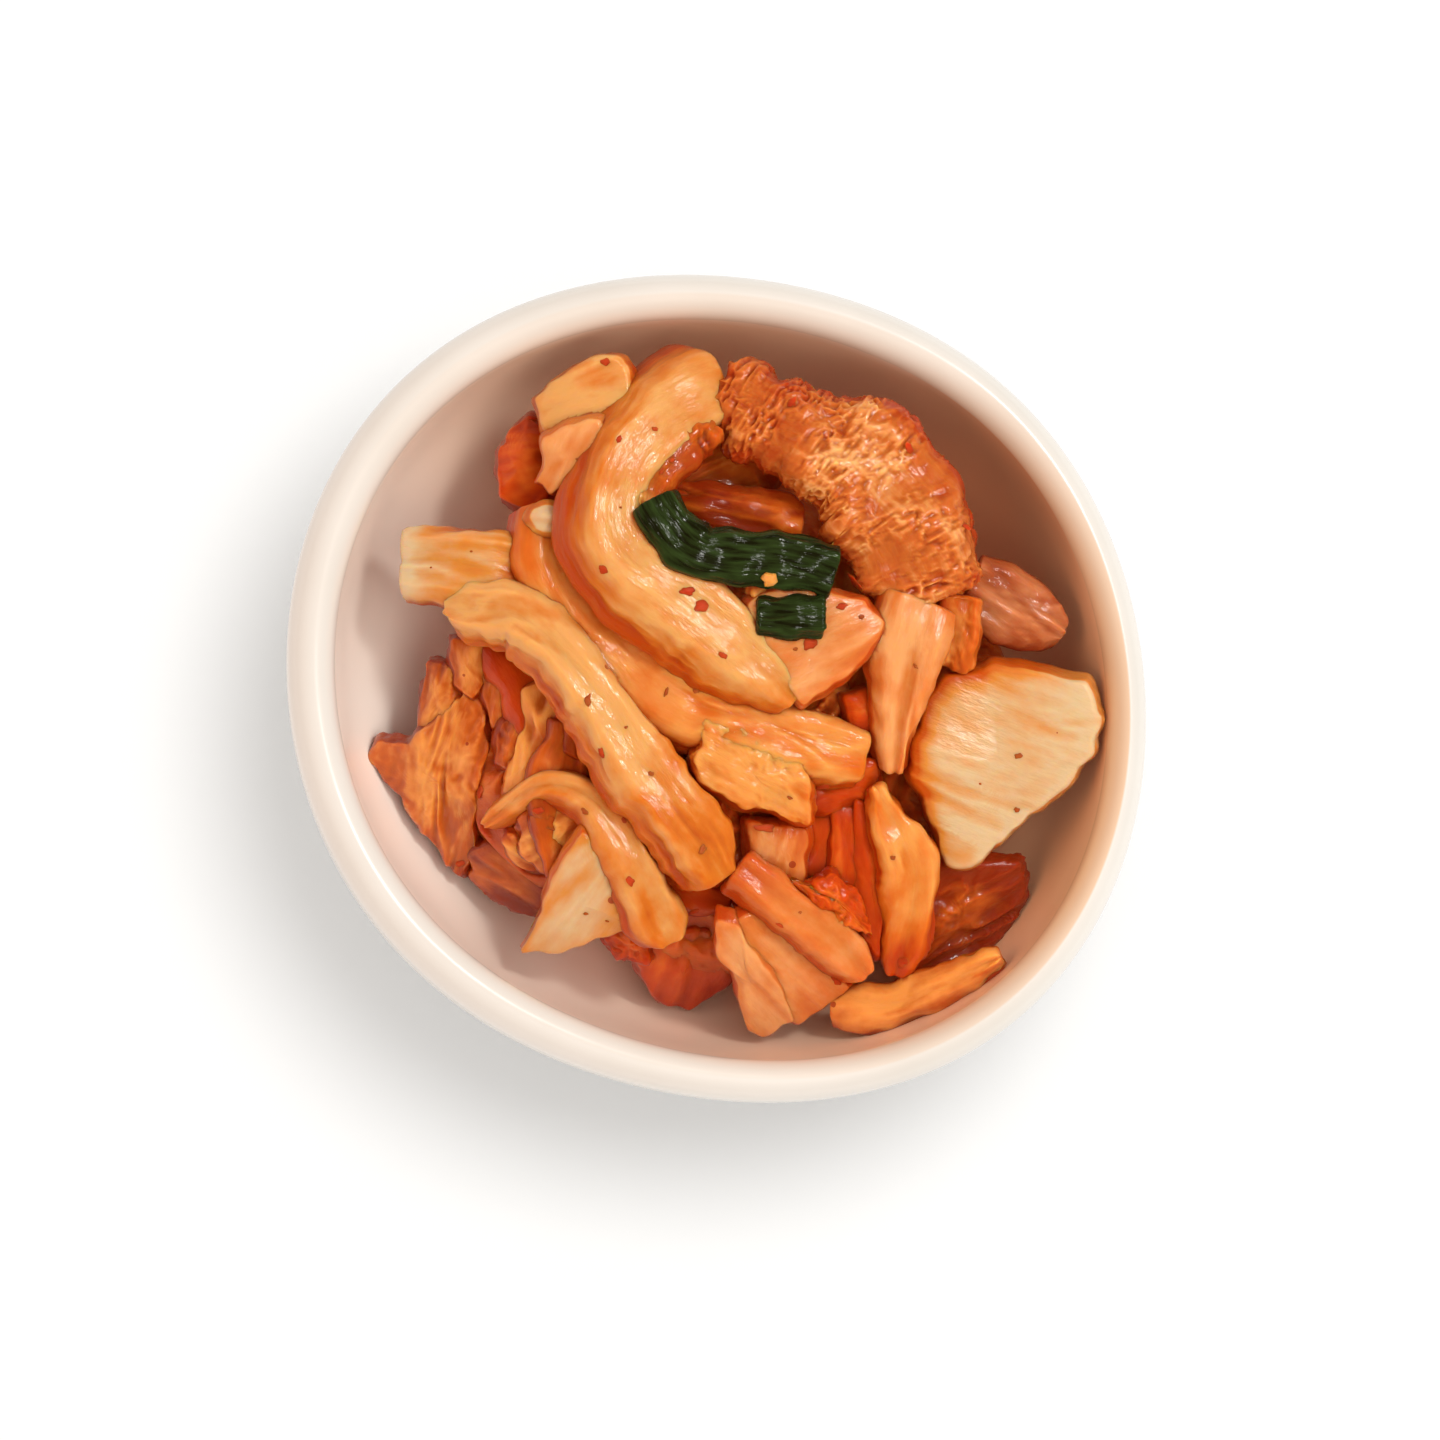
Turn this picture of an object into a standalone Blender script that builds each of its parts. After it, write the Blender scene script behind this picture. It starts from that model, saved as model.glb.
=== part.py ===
"""Kimchi heaped in its own small oval side-dish bowl.

A thick glazed stoneware bowl, thrown round and then pressed a little out of round, is filled nearly
to its lip with cut and fermented cabbage, and two pieces of spring onion lie on top. Metres, +Z up.
The origin is under the middle of the bowl, on the surface that its foot ring stands on. Lengths in
the constants below are millimetres.
"""

import math

import bmesh
import bpy
from mathutils import Vector
from mathutils.bvhtree import BVHTree

MM = 0.001
SECTORS = 72

# The bowl: mean radii and heights
BOWL_HEIGHT = 42.0
LIP_RADIUS = 49.3
LIP_WIDTH = 5.4
LIP_RISE = 3.4
BASE_LEVEL = 1.0
FLOOR_LEVEL = 6.0
FOOT_OUTER = 25.8
FOOT_INNER = 21.8
FOOT_EDGE = 0.5
RECESS_LEVEL = 2.3
OUTER_FULLNESS = 2.3
INNER_FULLNESS = 2.7

# How far the bowl is out of round: (lobes, share of the radius, direction of a lobe in degrees)
LOBES = ((2, 0.036, -28.2), (3, 0.0067, -58.7), (4, 0.0103, 42.5))
ROUND_BELOW = 3.0
FULLY_OVAL_ABOVE = 26.0

# The heap of cabbage
SEAT_GAP = 0.4
MOUND_LEVEL = 32.0
MOUND_FALL = 0.0115
MOUND_TILT = (0.12, 0.06)
TOP_RINGS = 18
WALL_RINGS = 8
STRIP_DROP = 2.2
BLEND = 1.0
LEAST_THICKNESS = 2.0

# What lies in the heap, lowest first: (piece, half of its width, points along its crest)
STRIPS = (
    ("left leaf folds", 6.0, ((-25.0, 5.0, 23.0), (-30.5, -6.0, 20.0), (-28.0, -16.0, 18.0))),
    ("inner leaf folds", 5.0, ((-18.5, 0.5, 24.0), (-17.0, -14.5, 24.0))),
    ("bottom slice", 4.0, ((-7.0, -28.0, 24.0), (-0.5, -32.0, 19.0))),
    ("wall leaf", 3.0, ((16.5, -34.5, 27.0), (24.5, -34.0, 30.0), (31.5, -31.5, 34.0))),
    ("side leaf", 4.0, ((33.0, 11.5, 37.0), (39.0, 7.5, 35.0))),
    ("small triangle", 5.0, ((-13.5, -17.5, 32.0), (-14.0, -26.0, 26.0))),
    ("folded wedge", 5.0, ((3.5, -26.0, 34.5), (8.5, -34.0, 28.0), (9.0, -36.5, 25.0))),
    ("low arch", 3.0, ((-24.5, -15.0, 28.0), (-19.5, -11.0, 33.0), (-13.0, -13.0, 36.0),
                       (-8.0, -20.5, 36.5), (-3.0, -27.0, 33.0))),
    ("finger", 3.2, ((5.0, -20.0, 37.0), (11.5, -24.5, 35.0), (18.0, -29.5, 31.0))),
    ("blade", 3.8, ((19.5, -11.5, 37.0), (25.0, -21.5, 34.0), (22.0, -31.0, 29.0))),
    ("left block", 4.8, ((-34.5, 15.0, 33.0), (-22.5, 14.5, 35.5))),
    ("corner chunk", 5.5, ((-19.0, 30.5, 37.0), (-11.0, 35.5, 39.0))),
    ("long band", 4.0, ((-19.5, 21.0, 36.0), (-17.0, 11.5, 37.0), (-10.0, 4.0, 38.0),
                        (-1.0, -2.5, 38.5), (10.0, -6.0, 38.5), (18.5, -8.0, 37.0))),
    ("centre block", 5.2, ((0.5, -9.5, 39.5), (8.5, -12.5, 39.5))),
    ("pale square", 8.5, ((27.5, -5.5, 37.0), (34.0, -6.5, 37.5), (38.0, -6.0, 38.5))),
    ("clear strip", 3.5, ((22.5, 10.0, 42.0), (23.0, -1.0, 39.5), (21.0, -10.5, 36.0))),
    ("front stem", 3.8, ((-30.5, 10.5, 33.5), (-24.0, 10.0, 37.0), (-17.5, 5.0, 39.0),
                         (-13.0, -1.5, 40.0), (-8.0, -9.0, 40.5), (-3.0, -16.0, 39.5),
                         (2.5, -20.5, 37.0))),
    ("pale flap", 4.2, ((17.0, 8.5, 43.0), (13.5, 0.0, 41.0))),
    ("ruffled leaf", 8.0, ((1.5, 33.0, 40.5), (10.5, 30.0, 43.0), (18.5, 24.5, 43.5),
                           (25.0, 17.0, 42.5), (26.5, 9.5, 40.0))),
    ("arch stem", 6.0, ((-1.5, 37.5, 37.5), (-9.0, 30.0, 42.0), (-12.5, 24.0, 43.5),
                        (-8.5, 16.5, 44.5), (-3.0, 11.0, 44.5), (3.0, 5.5, 44.0), (9.5, -1.5, 41.5))),
)

# Spring onion: a flattened green tube in two lengths, with the points along the middle of each
ONION_THICKNESS = 2.0
ONION_CLEARANCE = 0.45
ONION_LONG_WIDTH = 5.6
ONION_LONG_LINE = ((-8.2, 20.8), (-4.2, 16.4), (-0.2, 14.8), (5.0, 14.3), (9.0, 13.8), (13.3, 12.8))
ONION_SHORT_WIDTH = 4.0
ONION_SHORT_LINE = ((4.8, 7.6), (8.4, 7.5), (12.0, 7.3))


def smooth_step(value):
    """0 below 0, 1 above 1, and an easy curve between."""
    value = min(max(value, 0.0), 1.0)
    return value * value * (3.0 - 2.0 * value)


def out_of_round(angle, height):
    """The factor by which the bowl's radius is stretched in that direction at that height."""
    fade = smooth_step((height - ROUND_BELOW) / (FULLY_OVAL_ABOVE - ROUND_BELOW))
    waves = sum(share * math.cos(lobes * (angle - math.radians(turn))) for lobes, share, turn in LOBES)
    return 1.0 + fade * waves


def outline_middle():
    """The middle of the oval lip's bounding box, which becomes the origin."""
    angles = [2.0 * math.pi * step / SECTORS for step in range(SECTORS)]
    radii = [LIP_RADIUS * out_of_round(angle, BOWL_HEIGHT) for angle in angles]
    across = [radius * math.cos(angle) for radius, angle in zip(radii, angles)]
    along = [radius * math.sin(angle) for radius, angle in zip(radii, angles)]
    return (max(across) + min(across)) / 2.0, (max(along) + min(along)) / 2.0


def inner_wall(turn, inset=0.0):
    """A point (radius, height) on the inside of the bowl, from its middle at 0 to the lip at 1."""
    lip_line = BOWL_HEIGHT - LIP_RISE
    radius = LIP_RADIUS - LIP_WIDTH - inset
    depth = lip_line - FLOOR_LEVEL - inset
    sweep = turn * math.pi / 2.0
    power = 2.0 / INNER_FULLNESS
    return radius * math.sin(sweep) ** power, lip_line - depth * max(math.cos(sweep), 0.0) ** power


def outer_wall(height):
    """The bowl's outer radius at a height below the lip's widest line."""
    lip_line = BOWL_HEIGHT - LIP_RISE
    share = (lip_line - height) / (lip_line - BASE_LEVEL)
    return LIP_RADIUS * (1.0 - share ** OUTER_FULLNESS) ** (1.0 / OUTER_FULLNESS)


def bowl_profile():
    """The bowl's section from the middle of its floor over the lip and down to under the foot."""
    inside = [inner_wall(step / 10.0) for step in range(11)]
    middle = LIP_RADIUS - LIP_WIDTH / 2.0
    lip = []
    for step in range(1, 7):
        turn = math.pi * step / 7.0
        lip.append((middle - math.cos(turn) * LIP_WIDTH / 2.0,
                    BOWL_HEIGHT - LIP_RISE + math.sin(turn) * LIP_RISE))
    outside = [(outer_wall(height), height) for height in (38.6, 33.0, 27.0, 21.0, 15.5, 11.0, 7.5)]
    foot = [
        (FOOT_OUTER + 0.3, 5.0),
        (FOOT_OUTER, FOOT_EDGE),
        (FOOT_OUTER - FOOT_EDGE, 0.0),
        (FOOT_INNER + FOOT_EDGE, 0.0),
        (FOOT_INNER, FOOT_EDGE),
        (FOOT_INNER - FOOT_EDGE, RECESS_LEVEL),
        (0.0, RECESS_LEVEL),
    ]
    return inside + lip + outside + foot


def turned(name, profile):
    """A mesh turned about Z from a profile that runs down the outside, as a Screw modifier makes it."""
    points = [(radius * MM, 0.0, height * MM) for radius, height in profile]
    line = bpy.data.meshes.new(name)
    line.from_pydata(points, [(step, step + 1) for step in range(len(points) - 1)], [])
    guide = bpy.data.objects.new(name + "_profile", line)
    bpy.context.scene.collection.objects.link(guide)
    screw = guide.modifiers.new("turn", "SCREW")
    screw.steps = SECTORS
    screw.render_steps = SECTORS
    screw.use_merge_vertices = True
    screw.merge_threshold = 0.00005
    bpy.context.view_layer.update()
    evaluated = guide.evaluated_get(bpy.context.evaluated_depsgraph_get())
    mesh = bpy.data.meshes.new_from_object(evaluated)
    bpy.data.objects.remove(guide)
    return mesh


def closed(mesh):
    """Welds what a modifier left loose and turns every face outwards."""
    cage = bmesh.new()
    cage.from_mesh(mesh)
    bmesh.ops.remove_doubles(cage, verts=cage.verts, dist=0.00002)
    bmesh.ops.recalc_face_normals(cage, faces=cage.faces)
    bmesh.ops.triangulate(cage, faces=cage.faces)
    cage.to_mesh(mesh)
    cage.free()
    return mesh


def along_line(x, y, points):
    """How far a place is from a line in plan, and the line's height at its nearest point."""
    best = (math.inf, 0.0)
    for (ax, ay, az), (bx, by, bz) in zip(points, points[1:]):
        length = (bx - ax) ** 2 + (by - ay) ** 2
        share = min(max(((x - ax) * (bx - ax) + (y - ay) * (by - ay)) / length, 0.0), 1.0)
        gap = math.hypot(x - ax - share * (bx - ax), y - ay - share * (by - ay))
        best = min(best, (gap, az + share * (bz - az)))
    return best


def heap_top(x, y):
    """The height of the heap: a tilted mound, and the crest of each piece that lies on it."""
    mound = MOUND_LEVEL - MOUND_FALL * (x * x + y * y) + MOUND_TILT[0] * x + MOUND_TILT[1] * y
    total = math.exp(mound / BLEND)
    for _, half, points in STRIPS:
        gap, crest = along_line(x, y, points)
        height = crest - STRIP_DROP * (gap / half) ** 4
        total += math.exp(max(height, 0.0) / BLEND)
    return BLEND * math.log(total)


def wall_place(turn, angle):
    """A point (radius, height) of the heap's underside, which follows the bowl."""
    radius, height = inner_wall(turn, SEAT_GAP)
    return radius * out_of_round(angle, height), height


def wall_height(radius, angle):
    """The height of the heap's underside at a radius."""
    low, high = 0.0, 1.0
    for _ in range(14):
        middle = (low + high) / 2.0
        if wall_place(middle, angle)[0] < radius:
            low = middle
        else:
            high = middle
    return wall_place(high, angle)[1]


def contact(angle):
    """How far up the wall the heap reaches in that direction, from 0 at the middle to 1 at the lip."""
    low, high = 0.3, 1.0
    for step in range(60):
        turn = 1.0 - 0.7 * step / 60.0
        radius, height = wall_place(turn, angle)
        if heap_top(radius * math.cos(angle), radius * math.sin(angle)) > height:
            low = turn
            break
        high = turn
    for _ in range(10):
        middle = (low + high) / 2.0
        radius, height = wall_place(middle, angle)
        if heap_top(radius * math.cos(angle), radius * math.sin(angle)) > height:
            low = middle
        else:
            high = middle
    return low


def bowl_mesh():
    """The turned bowl, pressed out of round."""
    mesh = closed(turned("bowl", bowl_profile()))
    for vertex in mesh.vertices:
        angle = math.atan2(vertex.co.y, vertex.co.x)
        stretch = out_of_round(angle, vertex.co.z / MM)
        vertex.co.x *= stretch
        vertex.co.y *= stretch
    return mesh


def heap_mesh():
    """A turned lens whose lower half is laid on the bowl's wall and whose top takes the heap's relief."""
    top = [(LIP_RADIUS * ring / TOP_RINGS, 0.0) for ring in range(TOP_RINGS + 1)]
    under = []
    for ring in range(1, WALL_RINGS + 1):
        turn = math.pi / 2.0 * ring / WALL_RINGS
        under.append((max(LIP_RADIUS * math.cos(turn), 0.0), -LIP_RADIUS * math.sin(turn)))
    mesh = closed(turned("kimchi_heap", top + under))
    reaches = {}
    for vertex in mesh.vertices:
        across, depth = math.hypot(vertex.co.x, vertex.co.y) / MM, -vertex.co.z / MM
        angle = math.atan2(vertex.co.y, vertex.co.x)
        sector = round(angle / (2.0 * math.pi) * SECTORS) % SECTORS
        if sector not in reaches:
            reaches[sector] = contact(angle)
        if depth > 0.01:
            share = 1.0 - math.atan2(depth, across) / (math.pi / 2.0)
            radius, height = wall_place(reaches[sector] * share, angle)
        else:
            edge_radius, edge_height = wall_place(reaches[sector], angle)
            share = across / LIP_RADIUS
            radius = edge_radius * share
            height = heap_top(radius * math.cos(angle), radius * math.sin(angle))
            least = wall_height(radius, angle) + LEAST_THICKNESS * min(1.0, (1.0 - share) * 6.0)
            height = edge_height if share > 0.999 else max(height, least)
        vertex.co = Vector((radius * math.cos(angle), radius * math.sin(angle), height)) * MM
    return mesh


def highest_below(tree, x, y, reach):
    """The highest point of the heap within reach of a place."""
    found = []
    for across in (-1.0, -0.5, 0.0, 0.5, 1.0):
        for along in (-1.0, -0.5, 0.0, 0.5, 1.0):
            start = Vector((x + across * reach, y + along * reach, 2.0 * BOWL_HEIGHT)) * MM
            place, _, _, _ = tree.ray_cast(start, Vector((0.0, 0.0, -1.0)))
            if place:
                found.append(place.z / MM)
    return max(found)


def spanned(line, heights):
    """The heights of a stiff strip over a row of places: it rests on the high ones and spans the rest."""
    runs = [0.0]
    for (ax, ay), (bx, by) in zip(line, line[1:]):
        runs.append(runs[-1] + math.hypot(bx - ax, by - ay))
    raised = list(heights)
    for left in range(len(line)):
        for right in range(left + 2, len(line)):
            for between in range(left + 1, right):
                share = (runs[between] - runs[left]) / (runs[right] - runs[left])
                chord = heights[left] + share * (heights[right] - heights[left])
                raised[between] = max(raised[between], chord)
    return raised


def onion_mesh(name, line, width, heap):
    """A flattened tube swept along a line in plan, at the height where it lies on the heap."""
    tree = BVHTree.FromPolygons([v.co for v in heap.vertices], [p.vertices for p in heap.polygons])
    section = bpy.data.curves.new(name + "_section", "CURVE")
    section.dimensions = "2D"
    rim = section.splines.new("POLY")
    rim.points.add(11)
    for step, point in enumerate(rim.points):
        turn = 2.0 * math.pi * step / 12.0
        flat = math.copysign(abs(math.sin(turn)) ** 0.7, math.sin(turn))
        point.co = (math.cos(turn) * width / 2.0 * MM, flat * ONION_THICKNESS / 2.0 * MM, 0.0, 1.0)
    rim.use_cyclic_u = True
    section_object = bpy.data.objects.new(name + "_section", section)
    bpy.context.scene.collection.objects.link(section_object)
    path = bpy.data.curves.new(name + "_path", "CURVE")
    path.dimensions = "3D"
    path.twist_mode = "Z_UP"
    path.bevel_mode = "OBJECT"
    path.bevel_object = section_object
    path.use_fill_caps = True
    path.resolution_u = 3
    spline = path.splines.new("BEZIER")
    spline.bezier_points.add(len(line) - 1)
    lift = ONION_CLEARANCE + ONION_THICKNESS / 2.0
    heights = spanned(line, [highest_below(tree, x, y, width / 2.0) for x, y in line])
    for point, (x, y), height in zip(spline.bezier_points, line, heights):
        point.co = (x * MM, y * MM, (height + lift) * MM)
        point.handle_left_type = "AUTO"
        point.handle_right_type = "AUTO"
    path_object = bpy.data.objects.new(name + "_path", path)
    bpy.context.scene.collection.objects.link(path_object)
    bpy.context.view_layer.update()
    evaluated = path_object.evaluated_get(bpy.context.evaluated_depsgraph_get())
    mesh = bpy.data.meshes.new_from_object(evaluated)
    bpy.data.objects.remove(path_object)
    bpy.data.objects.remove(section_object)
    return closed(mesh)


def material(name, color, roughness):
    """A plain finish for one sub-part."""
    finish = bpy.data.materials.new(name)
    finish.use_nodes = True
    shader = finish.node_tree.nodes["Principled BSDF"]
    shader.inputs["Base Color"].default_value = (*color, 1.0)
    shader.inputs["Roughness"].default_value = roughness
    shader.inputs["Metallic"].default_value = 0.0
    return finish


def place(name, mesh, finish, parts, middle):
    """Names a sub-part, gives it its finish and brings it over the origin."""
    part = bpy.data.objects.new(name, mesh)
    part.data.name = name
    part.data.materials.clear()
    part.data.materials.append(finish)
    part.data.shade_smooth()
    part.data.set_sharp_from_angle(angle=math.radians(40.0))
    part.location = (-middle[0] * MM, -middle[1] * MM, 0.0)
    parts.objects.link(part)
    return part


def build():
    """Makes the bowl, the heap in it and the two pieces of spring onion on the heap."""
    for leftover in list(bpy.data.objects):
        bpy.data.objects.remove(leftover)
    parts = bpy.data.collections.new("kimchi")
    bpy.context.scene.collection.children.link(parts)
    middle = outline_middle()
    heap = heap_mesh()
    glaze = material("cream_glaze", (0.80, 0.72, 0.62), 0.22)
    cabbage = material("chili_cabbage", (0.72, 0.27, 0.06), 0.35)
    onion = material("onion_green", (0.035, 0.06, 0.02), 0.3)
    place("bowl", bowl_mesh(), glaze, parts, middle)
    long_piece = onion_mesh("scallion_long", ONION_LONG_LINE, ONION_LONG_WIDTH, heap)
    short_piece = onion_mesh("scallion_short", ONION_SHORT_LINE, ONION_SHORT_WIDTH, heap)
    place("kimchi_heap", heap, cabbage, parts, middle)
    place("scallion_long", long_piece, onion, parts, middle)
    place("scallion_short", short_piece, onion, parts, middle)


build()
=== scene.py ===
"""Looks of a small oval bowl of kimchi: cut, salted and fermented cabbage with spring onion on top."""

import math

import bmesh
import bpy
import numpy as np
from mathutils import Matrix, Vector, noise
from mathutils.bvhtree import BVHTree


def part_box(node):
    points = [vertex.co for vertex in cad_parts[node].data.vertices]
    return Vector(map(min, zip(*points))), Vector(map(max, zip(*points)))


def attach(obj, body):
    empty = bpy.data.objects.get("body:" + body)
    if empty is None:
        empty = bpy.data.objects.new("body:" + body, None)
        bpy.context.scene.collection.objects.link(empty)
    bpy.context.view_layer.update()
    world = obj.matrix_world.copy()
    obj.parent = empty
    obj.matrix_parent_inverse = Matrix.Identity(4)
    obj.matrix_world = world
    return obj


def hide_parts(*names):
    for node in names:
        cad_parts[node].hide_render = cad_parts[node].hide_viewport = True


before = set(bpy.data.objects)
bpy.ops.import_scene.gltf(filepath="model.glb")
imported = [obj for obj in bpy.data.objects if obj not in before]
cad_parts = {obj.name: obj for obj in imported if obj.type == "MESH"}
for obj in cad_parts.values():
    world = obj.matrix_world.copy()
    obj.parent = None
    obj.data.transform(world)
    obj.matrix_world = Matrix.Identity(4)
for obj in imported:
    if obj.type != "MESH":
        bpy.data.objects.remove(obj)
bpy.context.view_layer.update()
MM = 0.001


# ---------------------------------------------------------------- Table, daylight and camera
# The bowl stands on a matt white table in a white room. A window lights it from the right, a white card
# from the front and a warm one from the left. A soft lamp overhead lights the table and a small bulb
# the wet gloss. The camera looks down and leans a little to the front left.
CAMERA_LEAN = (-0.11, -0.11, 1.0)
CAMERA_DISTANCE = 0.75
CAMERA_AIM = Vector((-0.0003, -0.00435, 0.042))
LENS_LENGTH = 163.3
SENSOR_WIDTH = 36.0
TABLE_RADIUS = 2.0
ROOM_BRIGHTNESS = 0.80
# name, direction and height in degrees, size in metres, power in watts, colour, lights the table,
# shows in the wet gloss
LAMPS = (
    ("window", 16.0, 62.0, 0.42, 1.5, (1.0, 0.98, 0.95), False, False),
    ("lamp", 50.0, 79.0, 0.34, 2.4, (1.0, 0.98, 0.95), True, False),
    ("white_card", -62.0, 66.0, 0.50, 2.0, (1.0, 0.93, 0.86), False, False),
    ("warm_card", 190.0, 42.0, 0.50, 1.3, (1.0, 0.42, 0.16), False, False),
    ("small_bulb", 40.0, 64.0, 0.13, 1.6, (1.0, 0.98, 0.95), False, True),
)
LAMP_DISTANCE = 0.8

table_mesh = bpy.data.meshes.new("table")
table_shape = bmesh.new()
bmesh.ops.create_circle(table_shape, cap_ends=True, segments=96, radius=TABLE_RADIUS)
table_shape.to_mesh(table_mesh)
table_shape.free()
table = bpy.data.objects.new("table", table_mesh)
bpy.context.scene.collection.objects.link(table)
table_finish = bpy.data.materials.new("matt_white")
table_finish.use_nodes = True
table_shader = table_finish.node_tree.nodes["Principled BSDF"]
table_shader.inputs["Base Color"].default_value = (0.96, 0.98, 1.0, 1.0)
table_shader.inputs["Roughness"].default_value = 0.9
table_mesh.materials.append(table_finish)

room = bpy.data.worlds.new("room")
room.use_nodes = True
room.node_tree.nodes["Background"].inputs["Color"].default_value = (1.0, 0.96, 0.92, 1.0)
room.node_tree.nodes["Background"].inputs["Strength"].default_value = ROOM_BRIGHTNESS
bpy.context.scene.world = room
room.cycles_visibility.glossy = False

for lamp_name, turn, height, size, power, lamp_colour, lights_table, in_gloss in LAMPS:
    lamp_light = bpy.data.lights.new(lamp_name, "AREA")
    lamp_light.shape = "DISK"
    lamp_light.size = size
    lamp_light.energy = power
    lamp_light.color = lamp_colour
    lamp = bpy.data.objects.new(lamp_name, lamp_light)
    level = math.cos(math.radians(height))
    lamp_way = Vector((
        math.cos(math.radians(turn)) * level,
        math.sin(math.radians(turn)) * level,
        math.sin(math.radians(height)),
    ))
    lamp.location = lamp_way * LAMP_DISTANCE
    lamp.rotation_euler = lamp_way.to_track_quat("Z", "Y").to_euler()
    lamp.visible_glossy = in_gloss
    bpy.context.scene.collection.objects.link(lamp)
    lit = bpy.data.collections.new(lamp_name + "_lights")
    lit.objects.link(table)
    lit.collection_objects[0].light_linking.link_state = "INCLUDE" if lights_table else "EXCLUDE"
    lamp.light_linking.receiver_collection = lit

camera_data = bpy.data.cameras.new("camera")
camera_data.lens = LENS_LENGTH
camera_data.sensor_width = SENSOR_WIDTH
camera = bpy.data.objects.new("camera", camera_data)
camera_back = Vector(CAMERA_LEAN).normalized()
camera_up = (Vector((0.0, 1.0, 0.0)) - camera_back * camera_back.y).normalized()
camera_side = camera_up.cross(camera_back)
camera_turn = Matrix((camera_side, camera_up, camera_back)).transposed()
camera.matrix_world = Matrix.Translation(CAMERA_AIM + camera_back * CAMERA_DISTANCE) @ camera_turn.to_4x4()
bpy.context.scene.collection.objects.link(camera)
bpy.context.scene.camera = camera
bpy.context.scene.view_settings.view_transform = "Standard"


# ---------------------------------------------------------------- Bowl
# Stoneware, thrown on a wheel, pressed a little out of round and dipped in a thick cream glaze that
# runs smooth over the round lip and down to a low foot ring. Chilli juice has stained it inside, and
# the inside is painted with shade, light and orange bounce light from the food.
BOWL_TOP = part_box("bowl")[1][2] / MM
BOWL_MIDDLE = (0.31, 0.06)
LIP_RADIUS = 49.3
LIP_WIDTH = 5.4
LIP_RISE = 3.4
LIP_LINE = BOWL_TOP - LIP_RISE  # where the wall ends and the round of the lip begins
LIP_WAVE = 0.12
LIP_THINNING = (0.9, -25.0)  # how much thinner the lip is on one side, and which way that is
# lobes round the bowl, the share of the radius they add, and the way that the first one points
LOBES = ((2, 0.036, -28.2), (3, 0.0067, -58.7), (4, 0.0103, 42.5))
FLOOR_LEVEL = 6.0
WALL_END = 6.0
INNER_FULLNESS = 2.7
OUTER_FULLNESS = 2.3
FOOT_RING = (
    (26.6, 5.2), (26.1, 4.2), (25.9, 2.4), (25.8, 0.7), (25.5, 0.2), (25.0, 0.0), (22.6, 0.0),
    (22.1, 0.2), (21.8, 0.7), (21.4, 2.0), (20.6, 2.3), (12.0, 2.3), (2.0, 2.3),
)
INNER_ROWS = 50
LIP_ROWS = 24
OUTER_ROWS = 44
BOWL_COLUMNS = 240
GLAZE_PLAIN = (0.56, 0.537, 0.497, 1.0)
GLAZE_CLOUDED = (0.605, 0.584, 0.55, 1.0)
# what lies over the glaze, painted light and shade among it: its mark, its colour and how that is laid on
GLAZE_LAYERS = (
    # painted light: the glaze is painted lighter on the inner wall, and a little lighter low outside
    ("thick", (0.95, 0.895, 0.82, 1.0), "MIX"),
    # painted bounce light: an orange tint for light thrown onto the wall by the food
    ("thin_juice", (1.0, 0.66, 0.41, 1.0), "MULTIPLY"),
    # a real red-brown juice stain, darkened further at the back right as painted shade
    ("juice", (0.62, 0.27, 0.13, 1.0), "MIX"),
)
# where the juice stain and the painted shade on the wall are strongest, round from the right, and how wide
# they spread, in degrees
JUICE_AND_SHADE_WAY = 38.0
JUICE_AND_SHADE_WIDTH = 32.0
CLOCK = np.arange(0.0, 361.0, 30.0)  # every thirty degrees, from the right round the back
# how strongly painted bounce light from the food tints the wall orange at each of those
FOOD_BOUNCE = (1.0, 0.9, 0.7, 0.85, 0.7, 0.25, 0.05, 0.1, 0.3, 0.55, 0.75, 1.0, 1.0)


def smooth_step(value):
    """0 below 0, 1 above 1, and an easy curve between."""
    value = np.clip(value, 0.0, 1.0)
    return value * value * (3.0 - 2.0 * value)


def out_of_round(angle, height):
    """The factor by which the bowl is stretched in that direction at that height."""
    fade = smooth_step((height - 3.0) / 23.0)
    waves = sum(share * np.cos(lobes * (angle - math.radians(turn))) for lobes, share, turn in LOBES)
    return 1.0 + fade * waves


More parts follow.
